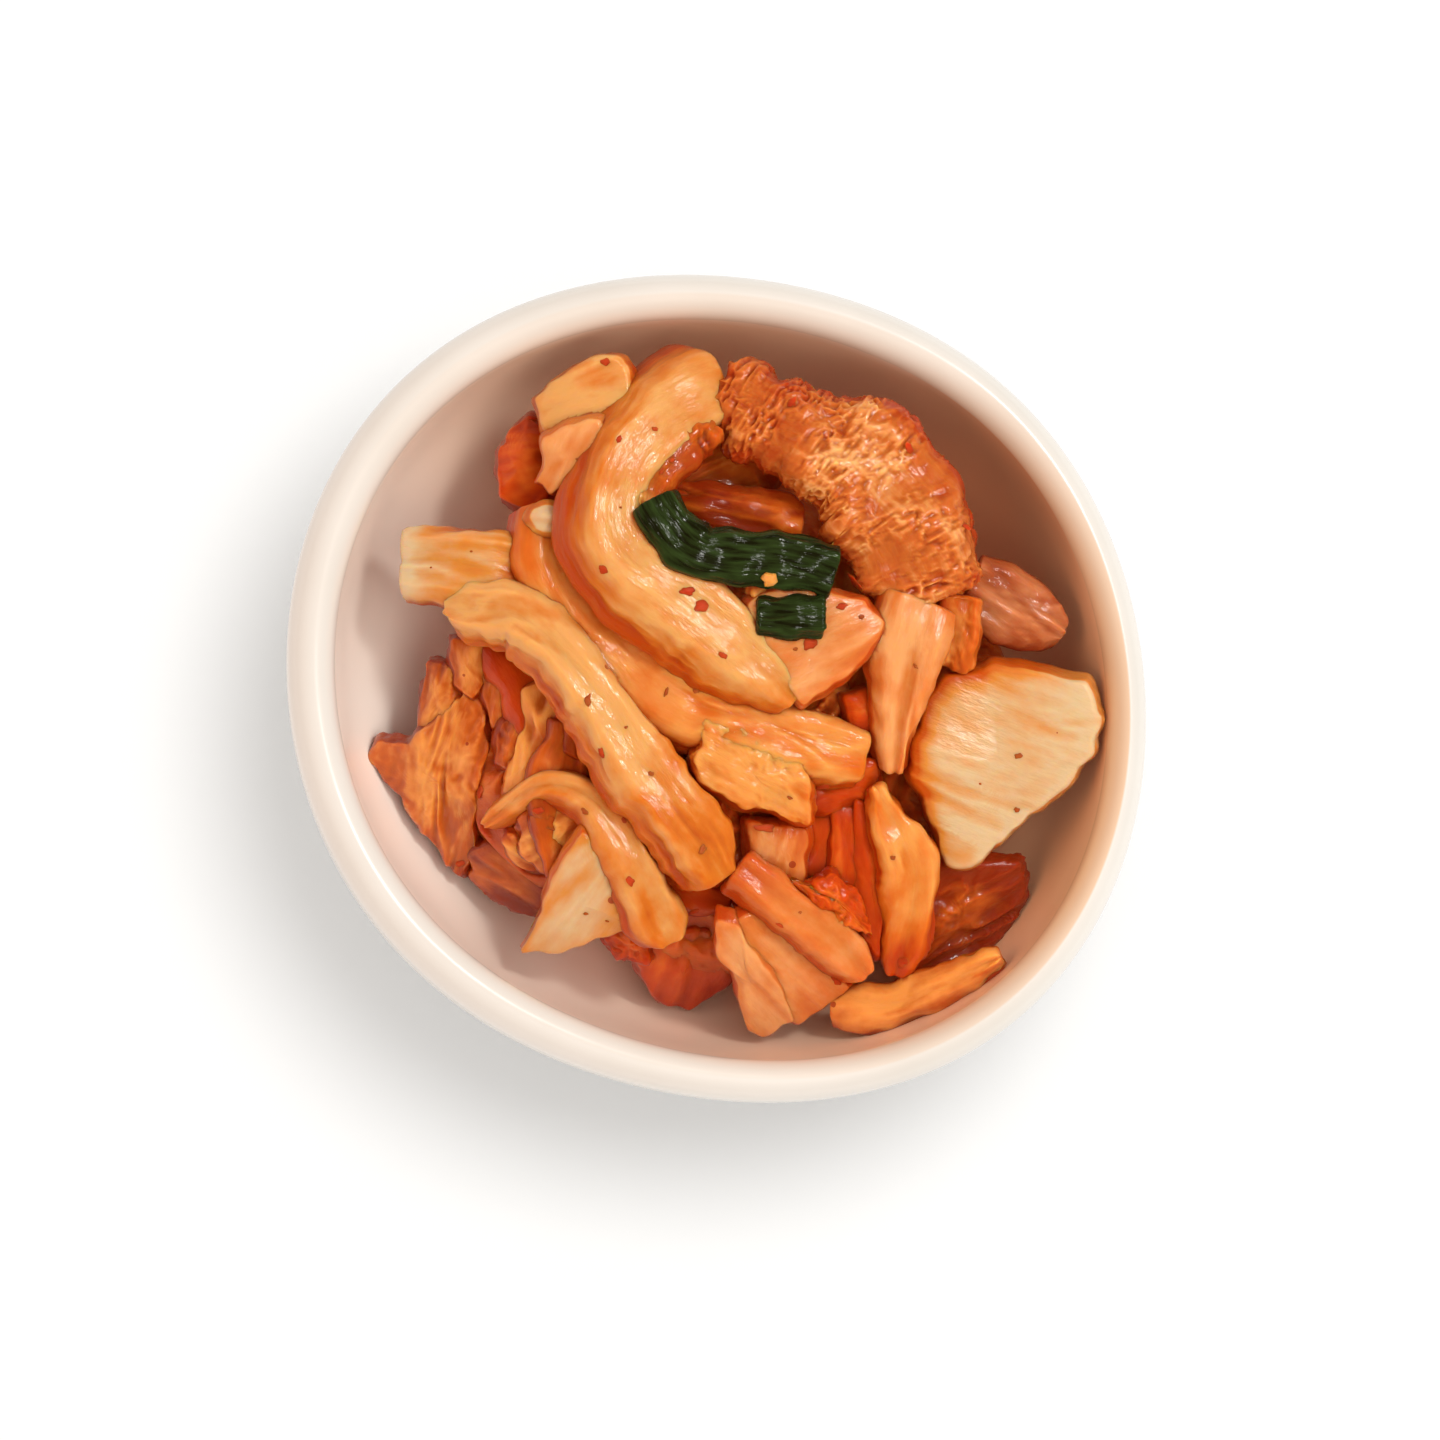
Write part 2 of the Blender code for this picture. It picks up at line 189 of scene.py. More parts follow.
def skin(name, rings, finish, **marks):
    """Closed bodies, each from a stack of rings of points in millimetres, with a point at each end.

    Each mark is a number or a vector for every point, which the finish reads by name.
    """
    rings = rings.reshape((-1,) + rings.shape[-3:])
    bodies, rows, around, _ = rings.shape
    low = np.arange(rows - 1)[:, None] * around + np.arange(around)[None, :]
    ahead = np.roll(low, -1, axis=1)
    sides = np.stack([low, ahead, ahead + around, low + around], axis=-1).reshape(-1, 4).tolist()
    last = (rows - 1) * around
    for step in range(around):
        beside = (step + 1) % around
        sides.append((rows * around, beside, step))
        sides.append((rows * around + 1, last + step, last + beside))
    start = rows * around + 2
    faces = [[start * body + corner for corner in side] for body in range(bodies) for side in sides]

    def with_ends(values):
        values = values.reshape((bodies, rows, around, -1))
        ends = np.stack([values[:, 0].mean(axis=1), values[:, -1].mean(axis=1)], axis=1)
        every = np.concatenate([values.reshape((bodies, rows * around, -1)), ends], axis=1)
        return every.reshape((-1, values.shape[-1]))

    mesh = bpy.data.meshes.new(name)
    mesh.from_pydata((with_ends(rings) * MM).tolist(), [], faces)
    for mark, values in marks.items():
        kind, field = ("FLOAT_VECTOR", "vector") if values.shape[-1] == 3 else ("FLOAT", "value")
        layer = mesh.attributes.new(mark, kind, "POINT")
        layer.data.foreach_set(field, with_ends(values).astype(np.float32).ravel())
    cage = bmesh.new()
    cage.from_mesh(mesh)
    if cage.calc_volume(signed=True) < 0.0:
        bmesh.ops.reverse_faces(cage, faces=cage.faces)
    cage.to_mesh(mesh)
    cage.free()
    mesh.shade_smooth()
    mesh.materials.append(finish)
    piece = bpy.data.objects.new(name, mesh)
    bpy.context.scene.collection.objects.link(piece)
    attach(piece, "root")
    return piece


def bowl_section():
    """The bowl's section, as (radius, height), from its middle over the lip and under the foot."""
    points = []
    for turn in np.linspace(0.02, 1.0, INNER_ROWS) * math.pi / 2.0:
        radius = (LIP_RADIUS - LIP_WIDTH) * math.sin(turn) ** (2.0 / INNER_FULLNESS)
        depth = (LIP_LINE - FLOOR_LEVEL) * math.cos(turn) ** (2.0 / INNER_FULLNESS)
        points.append((radius, LIP_LINE - depth))
    middle = LIP_RADIUS - LIP_WIDTH / 2.0
    for turn in np.linspace(0.0, math.pi, LIP_ROWS + 2)[1:-1]:
        points.append((middle - math.cos(turn) * LIP_WIDTH / 2.0, LIP_LINE + math.sin(turn) * LIP_RISE))
    for height in np.linspace(LIP_LINE, WALL_END, OUTER_ROWS):
        share = (LIP_LINE - height) / (LIP_LINE - 1.0)
        points.append((LIP_RADIUS * (1.0 - share ** OUTER_FULLNESS) ** (1.0 / OUTER_FULLNESS), height))
    return points + list(FOOT_RING)


def level_rings(turns, reach, level):
    """Points round an upright axis, with a reach and a level for each way."""
    return np.stack([reach * np.cos(turns), reach * np.sin(turns), level + 0.0 * turns], axis=-1)


def glazed_stoneware():
    """Cream glaze, clouded, painted lighter inside, with painted orange bounce light, juice stain and
    painted shade.
    """
    finish = bpy.data.materials.new("cream_glaze_gloss")
    finish.use_nodes = True
    nodes, links = finish.node_tree.nodes, finish.node_tree.links
    shader = nodes["Principled BSDF"]
    place = nodes.new("ShaderNodeTexCoord")
    clouds = nodes.new("ShaderNodeTexNoise")
    clouds.inputs["Scale"].default_value = 40.0
    clouds.inputs["Detail"].default_value = 3.0
    links.new(place.outputs["Object"], clouds.inputs["Vector"])
    tint = nodes.new("ShaderNodeValToRGB")
    tint.color_ramp.elements[0].position = 0.3
    tint.color_ramp.elements[0].color = GLAZE_PLAIN
    tint.color_ramp.elements[1].position = 0.7
    tint.color_ramp.elements[1].color = GLAZE_CLOUDED
    links.new(clouds.outputs["Fac"], tint.inputs["Fac"])
    layered = tint.outputs["Color"]
    for mark, colour, laid_on in GLAZE_LAYERS:
        share = nodes.new("ShaderNodeAttribute")
        share.attribute_name = mark
        film = nodes.new("ShaderNodeMix")
        film.data_type = "RGBA"
        film.blend_type = laid_on
        film.inputs["B"].default_value = colour
        links.new(share.outputs["Fac"], film.inputs["Factor"])
        links.new(layered, film.inputs["A"])
        layered = film.outputs["Result"]
    links.new(layered, shader.inputs["Base Color"])
    ripple = nodes.new("ShaderNodeTexNoise")
    ripple.inputs["Scale"].default_value = 90.0
    ripple.inputs["Detail"].default_value = 2.0
    links.new(place.outputs["Object"], ripple.inputs["Vector"])
    bump = nodes.new("ShaderNodeBump")
    bump.inputs["Strength"].default_value = 0.12
    bump.inputs["Distance"].default_value = 0.001
    links.new(ripple.outputs["Fac"], bump.inputs["Height"])
    links.new(bump.outputs["Normal"], shader.inputs["Normal"])
    gloss = nodes.new("ShaderNodeMapRange")
    gloss.inputs["To Min"].default_value = 0.16
    gloss.inputs["To Max"].default_value = 0.3
    links.new(clouds.outputs["Fac"], gloss.inputs["Value"])
    links.new(gloss.outputs["Result"], shader.inputs["Roughness"])
    shader.inputs["Specular IOR Level"].default_value = 0.45
    return finish


bowl_turns = np.linspace(0.0, 2.0 * math.pi, BOWL_COLUMNS, endpoint=False)
thinner_by, thinner_way = LIP_THINNING
bowl_rings = []
for radius, height in bowl_section():
    within = smooth_step((LIP_RADIUS - 1.0 - radius) / 4.0) * smooth_step((height - 25.0) / 15.0)
    thinner = thinner_by * np.clip(np.cos(bowl_turns - math.radians(thinner_way)), 0.0, 1.0)
    reach = (radius + within * thinner) * out_of_round(bowl_turns, height)
    wave = LIP_WAVE * np.sin(3.0 * bowl_turns + 0.7) * smooth_step((height - 20.0) / 20.0)
    bowl_rings.append(level_rings(bowl_turns, reach, height - np.abs(wave)))
bowl_rings = np.array(bowl_rings) + np.array([*BOWL_MIDDLE, 0.0])
ring_number = np.arange(len(bowl_rings))[:, None]
inside = ring_number < INNER_ROWS
bowl_height = bowl_rings[..., 2]
juice_and_shade_side = np.exp(-((np.degrees(bowl_turns) - JUICE_AND_SHADE_WAY) / JUICE_AND_SHADE_WIDTH) ** 2)
# the juice stain, with painted shade in it, stands highest where it is strongest; the glaze is painted
# lighter inside below the lip, as light on the wall, and a little lighter low outside
bowl_juice = 0.08 + 0.77 * juice_and_shade_side
bowl_juice = bowl_juice * smooth_step((34.0 + 16.0 * juice_and_shade_side - bowl_height) / 12.0) * inside
outer_glaze_lighter = 0.35 * smooth_step((43.0 - bowl_height) / 4.0)
glaze_painted_light = np.where(inside, smooth_step((44.0 - bowl_height) / 5.0), outer_glaze_lighter)
# painted bounce light from the food tints the inner wall orange, up to the lip at the right
bounce_top = 44.0 + 3.5 * np.clip(np.cos(bowl_turns + 0.2), 0.0, 1.0) ** 2
food_bounce_share = np.interp(np.degrees(bowl_turns), CLOCK, FOOD_BOUNCE) * smooth_step((bounce_top - bowl_height) / 8.0)
food_bounce_share = food_bounce_share * (ring_number < INNER_ROWS + LIP_ROWS // 2)
bowl = skin("stoneware_bowl", bowl_rings, glazed_stoneware(), juice=bowl_juice, thick=glaze_painted_light,
            thin_juice=food_bounce_share)
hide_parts("bowl")


# ---------------------------------------------------------------- Soaked middle of the heap
# Under the pieces that show, the bowl is full of chopped cabbage that has sunk together in its own
# chilli juice. It is one lumpy mass that lies on the bowl's wall and stays well below the top.
MIDDLE_LEVEL = 33.3
MIDDLE_FALL = 10.5
MIDDLE_TOP_ROWS = 84
MIDDLE_WALL_ROWS = 16
MIDDLE_COLUMNS = 480
# how far out it reaches, every thirty degrees from the right round the back
MIDDLE_REACH = (37.0, 33.0, 31.0, 30.0, 30.0, 26.0, 28.0, 31.0, 29.0, 32.0, 34.0, 37.0, 37.0)
# red-brown of sauce and painted shade, laid on wherever a spot of the food is closed in
SAUCE_AND_SHADE_COLOUR = (172, 54, 10)
SPECK_COLOUR = (150, 40, 15)


def paint(colour):
    """A colour given as 0 to 255 for red, green and blue, as the shader takes it."""
    shares = np.array(colour) / 255.0
    return (*np.where(shares <= 0.04045, shares / 12.92, ((shares + 0.055) / 1.055) ** 2.4), 1.0)


def rough(points, seed):
    """Smooth noise, from about -1 to 1, with one bump to each unit of the points."""
    shifted = points.reshape(-1, 3) + seed * np.array([7.31, 3.17, 5.73])
    values = [noise.noise(point) for point in shifted.tolist()]
    return np.array(values).reshape(points.shape[:-1]) * 1.6


def crumple(points, size, seed):
    """Wandering creases, from about -1 in the dents to 1 along the thin ridges."""
    spots = points / size
    bends = np.stack([rough(spots * 0.8, seed + 31), rough(spots * 0.8, seed + 32),
                      rough(spots * 0.8, seed + 33)], axis=-1)
    ridges = 1.0 - 2.2 * np.abs(rough(spots + 0.7 * bends, seed + 34))
    return ridges * np.clip(0.7 + 0.7 * rough(spots / 4.0, seed + 35), 0.15, 1.3)


def cabbage_finish(name, pale, middling, deep, specks=0.06, streaks=0.12, blotches=0.9, mottles=0.4,
                   matt=0.42, wet=0.8):
    """Fermented cabbage: pale flesh with streaks along its fibres, chilli juice soaked in from the
    edges, red-brown sauce and painted shade in the hollows, small chilli specks and a wet gloss.

    Pale, middling and deep are the flesh's colours from dry to soaked. Streaks, blotches and mottles are
    how unevenly the juice has soaked in, and specks is how many spots of chilli there are.
    """
    finish = bpy.data.materials.new(name)
    finish.use_nodes = True
    nodes, links = finish.node_tree.nodes, finish.node_tree.links
    shader = nodes["Principled BSDF"]

    def mark(label, output):
        node = nodes.new("ShaderNodeAttribute")
        node.attribute_name = label
        return node.outputs[output]

    def spread(scale, detail, stretch=(1.0, 1.0, 1.0)):
        turned = nodes.new("ShaderNodeVectorMath")
        turned.operation = "MULTIPLY"
        turned.inputs[1].default_value = stretch
        links.new(mark("grain", "Vector"), turned.inputs[0])
        node = nodes.new("ShaderNodeTexNoise")
        node.inputs["Scale"].default_value = scale
        node.inputs["Detail"].default_value = detail
        links.new(turned.outputs["Vector"], node.inputs["Vector"])
        return node.outputs["Fac"]

    def reckon(operation, first, second, third=None):
        node = nodes.new("ShaderNodeMath")
        node.operation = operation
        for socket, value in zip(node.inputs, (first, second, third)):
            if value is None:
                continue
            if isinstance(value, float):
                socket.default_value = value
            else:
                links.new(value, socket)
        return node.outputs["Value"]

    def blend(share, under, over, mode="MIX"):
        node = nodes.new("ShaderNodeMix")
        node.data_type = "RGBA"
        node.blend_type = mode
        for label, value in (("Factor", share), ("A", under), ("B", over)):
            if isinstance(value, (float, tuple)):
                node.inputs[label].default_value = value
            else:
                links.new(value, node.inputs[label])
        return node.outputs["Result"]

    fibre = spread(1.1, 3.0, (0.14, 1.0, 1.0))
    patch = spread(0.24, 3.0, (0.6, 1.0, 1.0))
    soak_and_shading = reckon("MULTIPLY_ADD", reckon("SUBTRACT", fibre, 0.5), streaks, mark("stain", "Fac"))
    soak_and_shading = reckon("MULTIPLY_ADD", reckon("SUBTRACT", patch, 0.5), blotches, soak_and_shading)
    mottle = spread(0.75, 4.0, (0.7, 1.0, 1.0))
    soak_and_shading = reckon("MULTIPLY_ADD", reckon("SUBTRACT", mottle, 0.5), mottles, soak_and_shading)
    tones = nodes.new("ShaderNodeValToRGB")
    tones.color_ramp.elements[0].position = 0.05
    tones.color_ramp.elements[0].color = paint(pale)
    tones.color_ramp.elements[1].position = 0.92
    tones.color_ramp.elements[1].color = paint(deep)
    tones.color_ramp.elements.new(0.44).color = paint(middling)
    links.new(soak_and_shading, tones.inputs["Fac"])
    # closed-in spots turn red-brown: sauce lying there, and painted shade
    shut = nodes.new("ShaderNodeMapRange")
    shut.interpolation_type = "SMOOTHSTEP"
    shut.inputs["From Min"].default_value = 0.25
    shut.inputs["From Max"].default_value = 1.0
    shut.inputs["To Max"].default_value = 0.8
    links.new(mark("sauce_and_shade", "Fac"), shut.inputs["Value"])
    flesh = blend(shut.outputs["Result"], tones.outputs["Color"], paint(SAUCE_AND_SHADE_COLOUR))

    spots = nodes.new("ShaderNodeTexVoronoi")
    spots.inputs["Scale"].default_value = 0.42
    links.new(mark("grain", "Vector"), spots.inputs["Vector"])
    pick = nodes.new("ShaderNodeSeparateColor")
    links.new(spots.outputs["Color"], pick.inputs["Color"])
    near = reckon("LESS_THAN", spots.outputs["Distance"], reckon("MULTIPLY", pick.outputs["Green"], 0.2))
    chosen = reckon("LESS_THAN", pick.outputs["Red"], specks)
    flesh = blend(reckon("MULTIPLY", reckon("MULTIPLY", near, chosen), 0.8), flesh, paint(SPECK_COLOUR))
    links.new(flesh, shader.inputs["Base Color"])

    links.new(reckon("MULTIPLY_ADD", reckon("SUBTRACT", patch, 0.5), 0.5, matt), shader.inputs["Roughness"])
    bump = nodes.new("ShaderNodeBump")
    bump.inputs["Strength"].default_value = 0.6
    bump.inputs["Distance"].default_value = 0.0003
    links.new(spread(1.5, 5.0, (0.3, 1.0, 1.0)), bump.inputs["Height"])
    links.new(bump.outputs["Normal"], shader.inputs["Normal"])
    beads = nodes.new("ShaderNodeBump")
    beads.inputs["Strength"].default_value = 0.7
    beads.inputs["Distance"].default_value = 0.0002
    links.new(spread(0.9, 2.0, (0.5, 1.0, 1.0)), beads.inputs["Height"])
    links.new(bump.outputs["Normal"], beads.inputs["Normal"])
    links.new(beads.outputs["Normal"], shader.inputs["Coat Normal"])
    shader.inputs["Coat Weight"].default_value = wet
    shader.inputs["Coat Roughness"].default_value = 0.14
    shader.inputs["Subsurface Weight"].default_value = 0.9
    shader.inputs["Subsurface Radius"].default_value = (1.0, 0.4, 0.15)
    shader.inputs["Subsurface Scale"].default_value = 0.002
    shader.inputs["Specular IOR Level"].default_value = 0.2
    return finish


def wall_radius(height, inset):
    """The bowl's inner radius at a height, less an inset, before it is pressed out of round."""
    share = np.clip((LIP_LINE - height) / (LIP_LINE - FLOOR_LEVEL - inset), 0.0, 1.0)
    return (LIP_RADIUS - LIP_WIDTH - inset) * (1.0 - share ** INNER_FULLNESS) ** (1.0 / INNER_FULLNESS)


middle_turns = np.linspace(0.0, 2.0 * math.pi, MIDDLE_COLUMNS, endpoint=False)
middle_reach = np.interp(np.degrees(middle_turns), CLOCK, MIDDLE_REACH)
middle_rings = []
for share in np.linspace(0.01, 1.0, MIDDLE_TOP_ROWS):
    top = MIDDLE_LEVEL - MIDDLE_FALL * share ** 2.5
    middle_rings.append(level_rings(middle_turns, middle_reach * share, top))
for share in np.linspace(0.9, 0.02, MIDDLE_WALL_ROWS):
    depth = FLOOR_LEVEL + 0.5 + (MIDDLE_LEVEL - MIDDLE_FALL - FLOOR_LEVEL) * share
    reach = np.minimum(middle_reach, wall_radius(depth, 0.4)) * min(1.0, 5.0 * share)
    middle_rings.append(level_rings(middle_turns, reach, depth))
middle_rings = np.array(middle_rings)
middle_spots = middle_rings * np.array([1.0, 1.0, 0.5])
middle_ridges = crumple(middle_spots, 4.5, 2)
middle_lift = 1.6 * rough(middle_spots / 9.0, 1) + 1.3 * middle_ridges
middle_lift += 0.35 * crumple(middle_spots, 1.7, 3)
middle_lift *= np.clip((MIDDLE_TOP_ROWS - np.arange(len(middle_rings))) / 6.0, 0.0, 1.0)[:, None]
middle_rings[..., 2] += middle_lift
middle_rings += np.array([*BOWL_MIDDLE, 0.0])
middle_finish = cabbage_finish("soaked_cabbage", (224, 136, 58), (204, 92, 26), (168, 54, 10))
# crease ridges paler, as painted highlight, and dents redder, as juice and painted shade
middle_soak_and_shading = 0.6 - 0.3 * np.clip(middle_ridges, -1.0, 1.0)
heap_middle = skin("soaked_middle", middle_rings, middle_finish, grain=middle_rings, stain=middle_soak_and_shading)
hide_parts("kimchi_heap")
food = [heap_middle]


# ---------------------------------------------------------------- Folded leaves at the left
# Thin leaf ends, folded like a fan, lie low against the left wall. They have soaked up the most
# juice, so they are orange to deep red-brown, with pale ribs along the folds, partly painted highlight.
# The low leaf end at the front left and the leaf in the hollow inside the arch are painted darkest,
# partly as shade.
SPACING = 0.42  # between the points of a piece's mesh
BEVEL = 0.6  # how far in the cut edges of a slab are rounded


def lengths_along(points):
    """How far along their line each of the points is."""
    steps = np.linalg.norm(np.diff(points, axis=0), axis=1)
    return np.concatenate([[0.0], np.cumsum(steps)])


def outward(rings, up=None):
    """The direction out of a closed stack of rings at each point. A flat piece says which way is up."""
    along = np.gradient(rings, axis=0)
    around = np.roll(rings, -1, axis=1) - np.roll(rings, 1, axis=1)
    normal = np.cross(along, around)
    normal /= np.maximum(np.linalg.norm(normal, axis=-1, keepdims=True), 1e-9)
    if up is None:
        facing = np.sum(normal * (rings - rings.mean(axis=1, keepdims=True)))
    else:
        facing = np.sum(normal[3] @ up)
    return normal * np.sign(facing)


def slab(name, corners, thick, finish, seed, turn=0.0, crown=0.4, soft=0.4, flare=0.9,
         lumps=(6.0, 0.35), fibres=(1.0, 0.08), creases=(3.0, 0.0), folds=(2.6, 0.12), contrast=0.2,
         soak=3.0):
    """A flat piece with the given corners: x, y, height of the top there, and stain.

    The turn is the way its fibres run. Folds are (distance apart, depth) of pleats along them, the
    contrast is how much paler their ridges are, as painted highlight, and redder their dents, as juice
    and painted shade, and a higher soak keeps the stain to the edge.
    """
    corners = np.array(corners, float)
    closed = np.concatenate([corners, corners[:1]])
    run = lengths_along(closed[:, :3])
    count = int(run[-1] / SPACING)
    at = np.linspace(0.0, run[-1], count, endpoint=False)
    outline = np.stack([np.interp(at, run, column) for column in closed.T], axis=1)
    for _ in range(max(int(soft / SPACING), 1)):
        outline = (np.roll(outline, 1, axis=0) + 2.0 * outline + np.roll(outline, -1, axis=0)) / 4.0
    edge, stain = outline[:, :3], outline[:, 3]
    middle = edge.mean(axis=0)
    _, _, axes = np.linalg.svd(edge - middle)
    up = axes[2] * np.sign(axes[2][2])
    reach = np.linalg.norm(edge - middle, axis=1, keepdims=True)
    outwards = (edge - middle) / reach
    reach = reach + 0.3 * rough(edge / 2.0, seed + 5)[:, None]
    bevel = min(thick / 2.0, BEVEL)
    rings, heights, shares = [], [], []
    inner = max(int(reach.mean() / SPACING), 6)
    for share in np.linspace(0.04, 1.0, inner)[:-1]:
        rings.append(middle + outwards * (reach - bevel) * share + up * crown * (1.0 - share ** 2))
        heights.append(0.0)
        shares.append(share)
    for lap in np.linspace(math.pi / 2.0, -math.pi / 2.0, 6 + int(thick / SPACING)):
        inset = bevel * (1.0 - np.abs(math.cos(lap)) ** (2.0 / 3.0))
        rise = math.copysign(abs(math.sin(lap)) ** (2.0 / 3.0), math.sin(lap)) - 1.0
        spread = outwards * (reach - inset - flare * (rise / 2.0))
        rings.append(middle + spread + up * rise * thick / 2.0)
        heights.append(rise * thick / 2.0)
        shares.append(1.0)
    for share in np.linspace(1.0, 0.04, inner // 2)[1:]:
        rings.append(middle + outwards * (reach - bevel) * share - up * thick)
        heights.append(-thick)
        shares.append(share)
    rings, heights, shares = np.array(rings), np.array(heights), np.array(shares)
    way = math.radians(turn)
    fibre = np.array([math.cos(way), math.sin(way), 0.0])
    fibre -= up * fibre.dot(up)
    fibre /= np.linalg.norm(fibre)
    offsets = rings - middle
    grain = np.stack(np.broadcast_arrays(
        offsets @ fibre, offsets @ np.cross(up, fibre), heights[:, None]), axis=-1)
    relief = lumps[1] * rough(grain / lumps[0], seed + 1)
    relief = relief + fibres[1] * rough(grain / (np.array([7.0, 1.0, 1.0]) * fibres[0]), seed + 2)
    ridges = crumple(grain, creases[0], seed + 3) if creases[1] else np.zeros(relief.shape)
    relief = relief + creases[1] * ridges
    if folds[1]:
        pleats = crumple(grain / np.array([4.0, 1.0, 1.0]), folds[0], seed + 4)
        relief = relief + folds[1] * pleats
        ridges = 0.6 * ridges + 1.2 * pleats
    rings = rings + outward(rings, up) * relief[..., None]
    near_edge = shares[:, None] ** soak
    soak_and_shading = stain[None, :] * near_edge + np.median(stain) * 0.6 * (1.0 - near_edge)
    # the sides and underside are deeper orange, as soaked-in juice and painted shade, and the ridges are
    # paler, as painted highlight
    soak_and_shading = soak_and_shading + 0.5 * (heights[:, None] < -0.12 * thick) - contrast * np.clip(ridges, -1.0, 1.0)
    piece = skin(name, rings, finish, grain=grain + seed * 11.0, stain=soak_and_shading)
    food.append(piece)
    return piece


def smooth_line(points, spacing):
    """Rows evenly spaced along a smooth curve through the given ones, and how far along each is."""
    points = np.array(points, float)
    padded = np.concatenate([2.0 * points[:1] - points[1:2], points, 2.0 * points[-1:] - points[-2:-1]])
    share = np.linspace(0.0, 1.0, 16, endpoint=False)[:, None]
    dense = []
    for before, here, there, after in zip(padded, padded[1:], padded[2:], padded[3:]):
        bend = 2.0 * before - 5.0 * here + 4.0 * there - after
        twist = 3.0 * here - before - 3.0 * there + after
        dense.append(here + 0.5 * ((there - before) * share + bend * share ** 2 + twist * share ** 3))
    dense = np.concatenate(dense + [points[-1:]])
    run = lengths_along(dense[:, :3])
    at = np.linspace(0.0, run[-1], max(int(run[-1] / spacing), 8))
    return np.stack([np.interp(at, run, column) for column in dense.T], axis=1), at


def rib(name, line, thick, finish, seed, fullness=8.0, cup=0.0, crown=0.0, edge=0.5, blunt=0.6,
        lumps=(8.0, 0.4), fibres=(0.8, 0.05), creases=(2.6, 0.2), pleats=(0.0, 0.0), drift=1.5,
        section=((-1.0, -0.4), (-0.7, 0.25), (-0.1, -0.2), (0.3, 0.15), (0.7, 0.2), (1.0, -0.4)),
        rims=(0.15, 0.15), flare=(0.45, 0.45), pull=(4.0, 1.0, 1.0), contrast=0.2, spacing=SPACING):
    """A strip of cabbage. Rows of the line: x, y, height of its top, half width, lean and stain.

    Lumps, fibres and creases are (size, height) of relief; pleats are (folds across, depth).
    The section lifts the upper face, left to right. The rims are the stain at either side, and the
    flare is how far either side spreads towards its foot. The pull draws the creases out along it and
    the contrast is how much paler their ridges are, as painted highlight, and redder their dents, as
    juice and painted shade.
    """
    rows, at = smooth_line(line, spacing)
    turns = np.linspace(0.0, math.pi / 2.0, 7)[1:]
    cap = blunt * (1.0 - np.cos(turns) ** (2.0 / 3.0))
    shrink = np.sin(turns) ** (2.0 / 3.0)
    inner = np.linspace(blunt, at[-1] - blunt, max(int((at[-1] - 2.0 * blunt) / spacing), 4))[1:-1]
    run = np.concatenate([cap, inner, at[-1] - cap[::-1]])
    size = np.concatenate([shrink, np.ones(len(inner)), shrink[::-1]])[:, None]
    x, y, z, half, lean, stain = [np.interp(run, at, column) for column in rows.T]
    path = np.stack([x, y, z], axis=-1)
    forward = np.gradient(path, run, axis=0)
    forward /= np.linalg.norm(forward, axis=-1, keepdims=True)
    side = np.cross(forward, np.array([0.0, 0.0, 1.0]))
    side /= np.linalg.norm(side, axis=-1, keepdims=True)
    up = np.cross(side, forward)
    tilt = np.radians(lean)[:, None]
    side, up = side * np.cos(tilt) - up * np.sin(tilt), up * np.cos(tilt) + side * np.sin(tilt)

    fine = np.linspace(0.0, 2.0 * math.pi, 721)
    across = np.sign(np.cos(fine)) * np.abs(np.cos(fine)) ** (2.0 / fullness)
    height = np.sign(np.sin(fine)) * np.abs(np.sin(fine)) ** (2.0 / fullness)
    girth = np.hypot(np.diff(across) * half.mean(), np.diff(height) * thick / 2.0)
    around = np.concatenate([[0.0], np.cumsum(girth)])
    even = np.linspace(0.0, around[-1], max(int(around[-1] / spacing), 24), endpoint=False)
    across = np.interp(even, around, across)[None, :]
    height = np.interp(even, around, height)[None, :]

    spot = np.stack(np.broadcast_arrays(run[:, None] / 7.0, np.sign(across) * 3.0, 0.0), axis=-1)
    ragged = edge * (rough(spot, seed) + 0.4 * rough(spot * np.array([4.0, 1.0, 1.0]), seed + 6))
    ragged = ragged * across ** 2 * np.sign(across)
    spread = np.where(across < 0.0, -flare[0], flare[1]) * (1.0 - height) / 2.0
    lateral = (half[:, None] * across + ragged + spread) * size
    deep = height * thick / 2.0
    level = deep * size - thick / 2.0
    level = level + (cup * across ** 2 + crown * (1.0 - across ** 2) * (height > 0.0)) * size
    level = level + np.interp(across, *np.array(section).T) * (0.5 + height / 2.0) * size
    count, depth = pleats
    if depth:
        wander = rough(np.stack(np.broadcast_arrays(run[:, None] / 9.0, across, 5.0), axis=-1), seed)
        level = level + depth * np.cos(math.pi * count * across + drift * wander) * size
    rings = path[:, None] + side[:, None] * lateral[..., None] + up[:, None] * level[..., None]
    grain = np.stack(np.broadcast_arrays(run[:, None], half[:, None] * across, deep), axis=-1)
    relief = lumps[1] * rough(grain / lumps[0], seed + 1)
    if fibres[1]:
        relief = relief + fibres[1] * rough(grain / (np.array([7.0, 1.0, 1.0]) * fibres[0]), seed + 2)
    ridges = crumple(grain / np.array(pull), creases[0], seed + 3)
    rings = rings + outward(rings) * ((relief + creases[1] * ridges) * size ** 2)[..., None]
    # the sides and underside are deeper orange: juice soaked into the cut sides, and painted shade
    soak_and_shading = stain[:, None] + np.where(across < 0.0, *rims) * across ** 4 + 0.5 * smooth_step(0.7 - height)
    # the ends a little deeper; crease ridges paler, as painted highlight, dents redder, as juice and painted
    # shade
    soak_and_shading = soak_and_shading + 0.15 * (1.0 - size) - contrast * np.clip(ridges, -1.0, 1.0)
